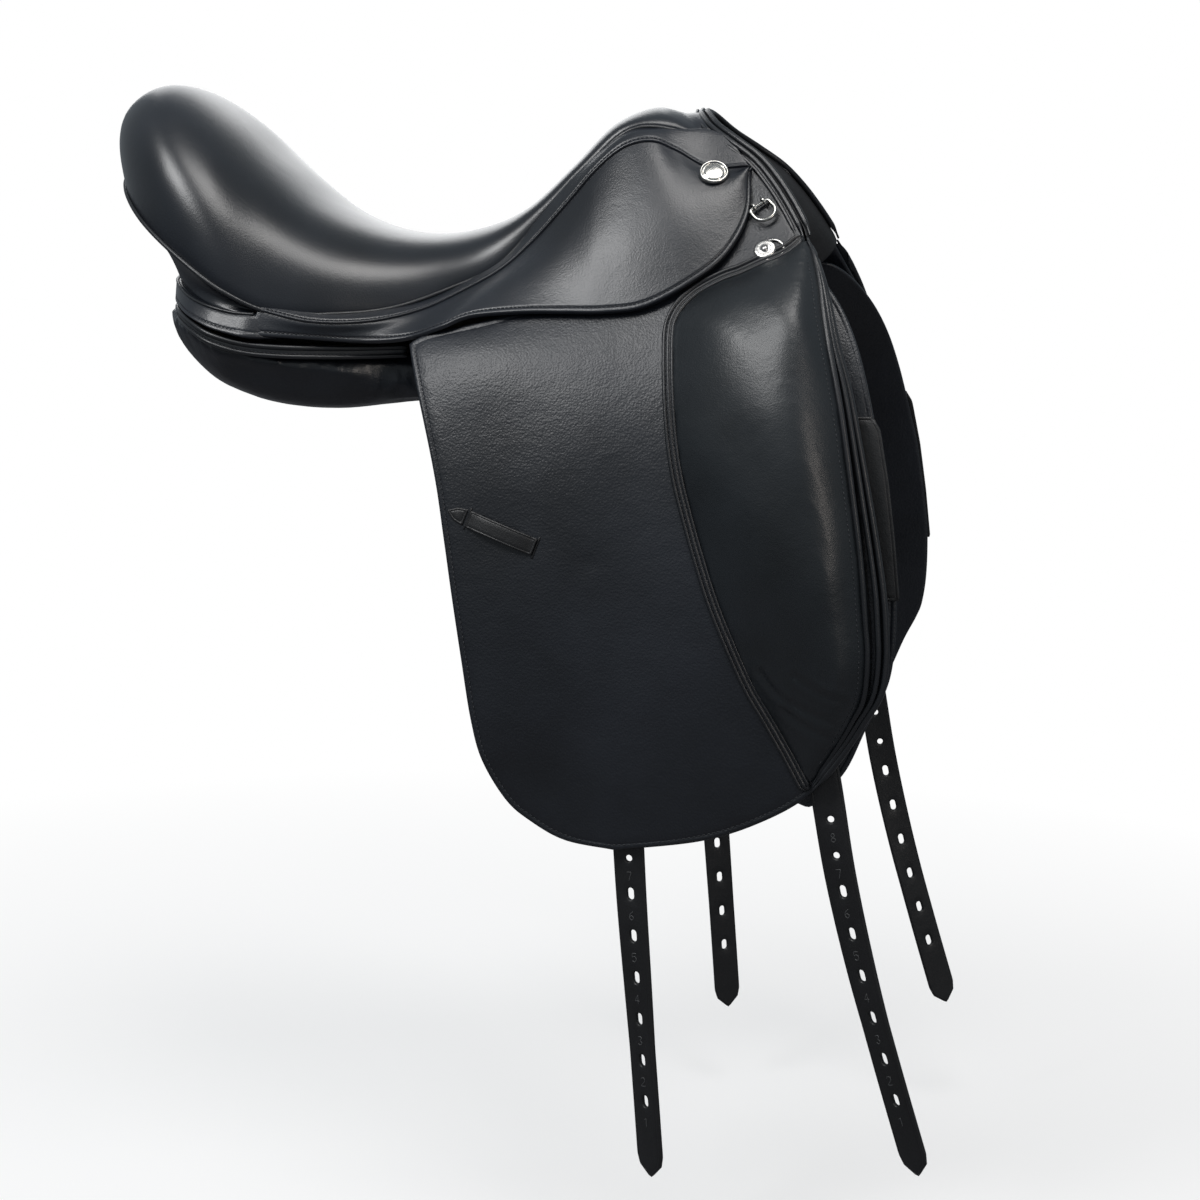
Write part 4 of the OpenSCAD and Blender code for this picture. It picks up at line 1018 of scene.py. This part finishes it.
a, k = np.linspace(0, 1, 50), np.r_[np.linspace(0, 0.55, 6), np.linspace(0.62, 1, 12)]
e = np.clip(np.minimum(k, 1 - k) / 0.12, 0, 1)
band_swell = 1.6 * np.sqrt(np.maximum(1 - (1 - e) ** 2, 0)) - 0.5 * np.exp(-((k - 0.74) / 0.05) ** 2)
band = cantle_wrap(spline(np.vstack([FACE_LOW, [-84, -127, 71]]), a), spline(np.vstack([BAND_LOW, [-87, -132, 56]]), a),
                   cantle_out(a), k, band_swell, 2.8)
dress(add("cantle_band_leather", *band, SKIRT_LEATHER), ["cantle_band"])
a = np.linspace(0.0, 1, 400)
line = spline(FACE_LOW, a) * 0.26 + spline(BAND_LOW, a) * 0.74 + 1.3 * cantle_out(a)
thread = stitches(mirror_loop(line), mirror_loop(cantle_out(a)), *SMALL_STITCH)
dress(add("cantle_band_stitching", *thread, THREAD))
a = np.linspace(0, 1, 300)
top_roll = mirror_loop(even(spline(FACE_LOW, a) + 0.8 * cantle_out(a), 3.0))
dress(add("cantle_band_piping", *tube(top_roll, 1.3, 8), WELT_LEATHER))

# ---------------------------------------------------------------- panels

# Each row is x and six corners (y, z) of the cushion's section there.
PANEL = arr([
    (-194, -68, 80, -38, 80, -38, 73, -52, 69, -66, 71, -70, 76),
    (-180, -96, 76, -35, 81, -35, 62, -66, 48, -90, 53, -98, 66),
    (-160, -118, 68, -33, 81, -33, 50, -74, 28, -106, 36, -119, 52),
    (-130, -131, 56, -32, 82, -33, 42, -78, 14, -119, 20, -133, 38),
    (-95, -128, 49, -32, 80, -34, 38, -78, 5, -117, 8, -130, 29),
    (-50, -113, 46, -31, 78, -35, 36, -75, 1, -105, 2, -117, 23),
    (0, -90, 47, -30, 76, -36, 38, -70, 4, -88, 4, -96, 24), (50, -70, 66, -30, 84, -36, 55, -72, 18, -98, 8, -97, 36),
    (100, -58, 86, -32, 98, -40, 72, -76, 32, -112, 6, -96, 46),
    (150, -53, 106, -34, 117, -44, 92, -82, 42, -121, 6, -97, 52),
    (200, -50, 121, -36, 131, -48, 100, -88, 46, -125, 8, -98, 60),
    (240, -50, 130, -38, 138, -52, 104, -90, 50, -123, 14, -99, 65),
    (275, -58, 126, -46, 131, -56, 108, -90, 62, -117, 28, -98, 71),
    (292, -68, 110, -60, 113, -66, 100, -88, 72, -104, 50, -92, 77)])


def panel_mesh(draw_in):
    """The cushion, drawn in a little, since the cloth swells."""
    rows = []
    for q in spline(PANEL, np.linspace(0.0, 1, 90)):
        p = q[1:].reshape(6, 2)
        middle = (p[0] + p[1] + p[3] + p[4]) / 4
        p = p - draw_in * unit(p - middle)
        loop = np.vstack([p[-1:], p, p[:2]])
        rows.append([(q[0], *catmull(*loop[i:i + 4], f / 6)) for i in range(6) for f in range(6)])
    g = arr(rows)
    n, m = g.shape[:2]
    return g.reshape(-1, 3), quads(n, m, wrap=True) + caps(n, m)


def hold_panel(p, n):
    return n[:, 2] > 0.45


def finish_panel(p, n):
    """Soft folds on the outer side of the cushion."""
    fold = 0.5 * np.sin(p[:, 0] * 0.13 + 0.9 * np.sin(p[:, 1] * 0.05)) * np.clip((p[:, 2] - 8) / 20, 0, 1)
    return p + (fold * (n[:, 2] < 0.3))[:, None] * n


panel = soften(add("panel_right", *panel_mesh(2.6), PANEL_LEATHER), hold_panel, 5.0, 4.0)
move_points(panel, finish_panel)
soft_pair(panel, "panel", ["panel_cover_*", "panel_flock_*"])

PIPE = [
    (4, -101, 50), (-24, -111, 49), (-50, -121, 49), (-83, -134, 50), (-112, -138.5, 53), (-135, -139, 59.5),
    (-151, -131, 67), (-164, -118, 73), (-175, -100, 77), (-184, -78, 79.5), (-190, -54, 80), (-192, -36, 80)]
pipe = smooth(PIPE, 3.0)
out = unit(np.cross(np.gradient(pipe, axis=0), [0, 0, 1]))
if out[20, 1] > 0:
    out = -out
second = pipe + [0.5, -0.4, -6.4]
k = np.linspace(0, 1, 6)
strip_face = between(pipe, second, k) + (0.6 * np.sin(np.pi * k))[None, :, None] * out[:, None]
welts = join(tube(pipe, 2.0, 10), tube(second, 1.7, 10), shell(strip_face, strip_face - 1.6 * out[:, None]))
pair("panel_piping", welts, WELT_LEATHER, ["panel_welts_*"])
pair("panel_stitching", stitches(pipe + [0.4, 0, -4.4] + out, out, 3.2, 2.2, 0.34), THREAD)

# ---------------------------------------------------------------- sweat flaps

SW_REAR = [
    (30, 4), (32, 60), (36, 120), (42, 180), (54, 230), (80, 272), (130, 300), (180, 322), (225, 345), (248, 357)]
SW_FRONT = [
    (248, 357), (256, 360), (268, 351), (285, 335), (303, 306), (318, 284), (326, 263), (332, 232), (335, 200),
    (335.5, 141), (333.5, 113), (330, 72), (325, 40), (317, 14), (305, -8), (290, -22), (270, -26)]
SW_TOP = [(270, -26), (240, -16), (180, -4), (30, 4)]
sweat_outline = np.vstack([smooth(SW_REAR)[:-1], smooth(SW_FRONT), smooth(SW_TOP)[1:-1]])
sweat = sheet(sweat_outline, lambda x, y, h: side(x, y, h - 11.6), 3.5, grooves=((4.0, 1.2, 0.45),), cell=8.0,
              round_r=1.6)
pair("sweat_flap_leather", sweat, FLAP_LEATHER, ["sweat_flap_*"])
guard = sheet([(318, 92), (332, 94), (336, 104), (337.6, 141), (337.2, 181), (335.5, 222), (323, 221), (320, 160)],
              lambda x, y, h: side(x, y, h - 9.6), 1.8, grooves=((2.2, 0.8, 0.3),), cell=4.0, round_r=0.8)
pair("sweat_flap_guard", guard, STRAP_LEATHER)

# ---------------------------------------------------------------- girth straps

FRONT_LINE = [
    (250, -18), (254, 60), (259, 130), (263, 200), (266, 270), (269, 345), (271, 410), (277, 480), (286, 550),
    (298, 632)]
REAR_LINE = [
    (150, -18), (146, 60), (141, 130), (136, 200), (131, 270), (126, 345), (120, 415), (115, 485), (110, 555),
    (105, 622)]
DIGITS = {1: [[(-0.4, 0.7), (0.1, 1), (0.1, -1)]],
          2: [[(-0.55, 0.6), (-0.3, 0.95), (0.3, 0.95), (0.55, 0.6), (0.45, 0.15), (-0.55, -1), (0.6, -1)]],
          3: [[(-0.5, 0.85), (0.1, 1), (0.5, 0.6), (0.05, 0.1), (0.55, -0.4), (0.1, -1), (-0.5, -0.8)]],
          4: [[(0.25, -1), (0.25, 1), (-0.6, -0.35), (0.6, -0.35)]],
          5: [[(0.5, 1), (-0.4, 1), (-0.5, 0.15), (0.1, 0.3), (0.55, -0.3), (0.1, -1), (-0.5, -0.8)]],
          6: [[(0.4, 0.95), (-0.3, 0.4), (-0.5, -0.4), (0, -1), (0.5, -0.45), (0, 0.05), (-0.45, -0.3)]],
          7: [[(-0.55, 1), (0.55, 1), (-0.1, -1)]],
          8: [[(0, 0.05), (0.42, 0.5), (0, 1), (-0.42, 0.5), (0, 0.05), (0.52, -0.5), (0, -1), (-0.52, -0.5),
               (0, 0.05)]]}


def strap_place(line):
    """A strap along a line on the flap's plane: place(x along, y across, h above its middle), and its length."""
    t = np.linspace(0, 1, 900)
    q = spline(line, t)
    p = side(q[:, 0], q[:, 1], -7.9)
    d = unit(np.gradient(p, axis=0))
    f = unit(np.cross(np.cross(d, out_dir(q[:, 1])), d))
    w = np.cross(f, d)
    a = (math.radians(30) * np.clip((t - 0.56) / 0.28, 0, 1))[:, None]
    wide, up = w * np.cos(a) + f * np.sin(a), f * np.cos(a) - w * np.sin(a)
    s = lengths(p)

    def place(x, y, h=0.0):
        x, y, h = np.broadcast_arrays(arr(x), arr(y), arr(h))
        return read_off(s, p, x) + y[..., None] * read_off(s, wide, x) + h[..., None] * read_off(s, up, x)
    return place, s[-1]


def stadium(cx, length, r):
    """The outline of a buckle hole."""
    a = np.linspace(-math.pi / 2, math.pi / 2, 8)
    h = length / 2 - r
    half = np.stack([h + r * np.cos(a), r * np.sin(a)], -1)
    return np.vstack([half, -half]) + [cx, 0]


HOLE_R, HOLE_PITCH, UPPER_PITCH = 2.4, 31, 26
for which, line in (("front", FRONT_LINE), ("rear", REAR_LINE)):
    place, full = strap_place(line)
    lay = lambda x, y, h, place=place: place(x, y, arr(h) + 2.0)
    half = [(0.6, -8), (3, -11.3), (full - 17, -11.5), (full - 9, -9.6), (full - 1.2, -1.6)]
    edge = half + [(full, 0)] + [(x, -y) for x, y in half[::-1]]
    last = full - 58 - 5 * HOLE_PITCH
    holes = [stadium(full - 58 - HOLE_PITCH * i, 9, HOLE_R) for i in range(6)]
    holes += [stadium(last - UPPER_PITCH * i, 4.81, HOLE_R) for i in (1, 2)]
    leather_strap = sheet(edge, lay, 4.0, holes=holes, grooves=((2.1, 0.7, 0.3),), cell=4.4, step=2.6, round_r=1.5,
                          hole_step=1.1)
    # The numbers are raised strokes, and their pale colour is a painted glint.
    marks = []
    for i in range(8):
        x = full - 42 - HOLE_PITCH * i if i < 6 else last - UPPER_PITCH * (i - 5.5)
        for stroke in DIGITS[i + 1]:
            pts = smooth(stroke, 0.12) if i + 1 in (2, 3, 5, 6, 8) else even(arr(stroke), 0.2)
            marks.append(tube(place(x - pts[:, 1] * 3.1, pts[:, 0] * 3.0, 2.05), 0.32, 6))
    pair(f"girth_strap_{which}", leather_strap, STRAP_LEATHER, [f"strap_{which}_*"], body=f"{which}_strap_*")
    pair(f"girth_strap_{which}_numbers", join(*marks), PAINTED_GLINT_NUMBERS, body=f"{which}_strap_*")

# ---------------------------------------------------------------- carried-over CAD nodes

FINISH = {"tree_frame": WOOD, "head_arch": LINING, "tree_point": LINING, "gullet_plate": STEEL, "spring_steels": STEEL,
          "stirrup_bar": STEEL, "bar_catch": BRUSHED, "bar_rivets": BRUSHED, "catch_pins": BRUSHED,
          "strap_rivets": BRUSHED, "strainer_webbing": WEB, "girth_webbing": WEB}
for name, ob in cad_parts.items():
    for start, mat in FINISH.items():
        if name.startswith(start):
            ob.data.materials.clear()
            ob.data.materials.append(mat)

# ---------------------------------------------------------------- floor, light and camera

FLOOR_Z = -0.62
floor_mat, ft, fb = material("floor", (0.92, 0.92, 0.92), 0.9)
noise = node(ft, "ShaderNodeTexNoise", Scale=3.0, Detail=2.0)
ft.links.new(ramp(ft, noise.outputs["Fac"], 0.3, 0.7, 0.86, 0.94), fb.inputs["Roughness"])
look = node(ft, "ShaderNodeLightPath").outputs["Is Camera Ray"]
two_tone(ft, look, (0.16, 0.16, 0.17), (0.94, 0.94, 0.94), fb.inputs["Base Color"])
reach = node(ft, "ShaderNodeVectorMath", operation="LENGTH")
white = node(ft, "ShaderNodeEmission", Strength=1.0)
only = node(ft, "ShaderNodeMath", operation="MULTIPLY")
fade = node(ft, "ShaderNodeMixShader")
for source, target in ((node(ft, "ShaderNodeTexCoord").outputs["Object"], reach.inputs[0]),
                       (ramp(ft, reach.outputs["Value"], 0.7, 1.5, 0.55, 1.0), only.inputs[0]), (look, only.inputs[1]),
                       (only.outputs["Value"], fade.inputs[0]), (fb.outputs["BSDF"], fade.inputs[1]),
                       (white.outputs["Emission"], fade.inputs[2]),
                       (fade.outputs["Shader"], ft.nodes["Material Output"].inputs["Surface"])):
    ft.links.new(source, target)
floor = bpy.data.meshes.new("floor")
R = 14.0
floor.from_pydata([(-R, -R, FLOOR_Z), (R, -R, FLOOR_Z), (R, R, FLOOR_Z), (-R, R, FLOOR_Z)], [], [(0, 1, 2, 3)])
floor.materials.append(floor_mat)
linked(bpy.data.objects.new("floor", floor))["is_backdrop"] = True


def softbox(name, at, target, size, watts, tall=None, tint=(1, 1, 1)):
    li = bpy.data.lights.new(name, "AREA")
    li.shape = "RECTANGLE"
    li.size, li.size_y, li.energy, li.color = size, tall or size, watts, tint
    ob = linked(bpy.data.objects.new(name, li))
    ob.location = at
    ob.rotation_euler = (Vector(target) - Vector(at)).to_track_quat("-Z", "Y").to_euler()


MIDDLE = (0.05, 0, 0.0)
softbox("key", (-1.0, -1.5, 1.9), MIDDLE, 1.0, 34, 0.8)
softbox("top", (0.45, -0.7, 2.0), MIDDLE, 1.0, 20, 0.8, (1.0, 0.98, 0.96))
softbox("front_fill", (1.8, -1.7, 0.8), MIDDLE, 0.4, 7, 1.1, (1.0, 0.9, 0.82))
softbox("left_fill", (-0.7, 2.0, 1.0), MIDDLE, 1.4, 12)

bpy.context.scene.view_settings.view_transform = "Standard"
world = bpy.data.worlds.new("studio")
bpy.context.scene.world = world
world.use_nodes = True
wt = world.node_tree
wt.nodes.clear()
room = node(wt, "ShaderNodeBackground", Color=(0.84, 0.93, 1, 1), Strength=0.3)
plain = node(wt, "ShaderNodeBackground", Color=(1, 1, 1, 1), Strength=1.0)
mix = node(wt, "ShaderNodeMixShader")
seen = node(wt, "ShaderNodeLightPath").outputs["Is Camera Ray"]
for k, source in enumerate((seen, room.outputs[0], plain.outputs[0])):
    wt.links.new(source, mix.inputs[k])
wt.links.new(mix.outputs[0], node(wt, "ShaderNodeOutputWorld").inputs[0])

AZIMUTH, ELEVATION, DISTANCE = math.radians(12), math.radians(9), 1.7
AIM = Vector((0.1303, 0, -0.1518))
cam = bpy.data.cameras.new("camera")
cam.sensor_width, cam.lens = 36.0, 2152 / 1200 * 36.0
cam.clip_end = 60
camera = linked(bpy.data.objects.new("camera", cam))
away = Vector((math.sin(AZIMUTH) * math.cos(ELEVATION), -math.cos(AZIMUTH) * math.cos(ELEVATION), math.sin(ELEVATION)))
camera.location = AIM + away * DISTANCE
camera.rotation_euler = (-away).to_track_quat("-Z", "Y").to_euler()
bpy.context.scene.camera = camera

plain_box = lambda b: [[float(x) for x in corner] for corner in b]
{"cad": plain_box(CAD_BOX), "visual": plain_box(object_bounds())}
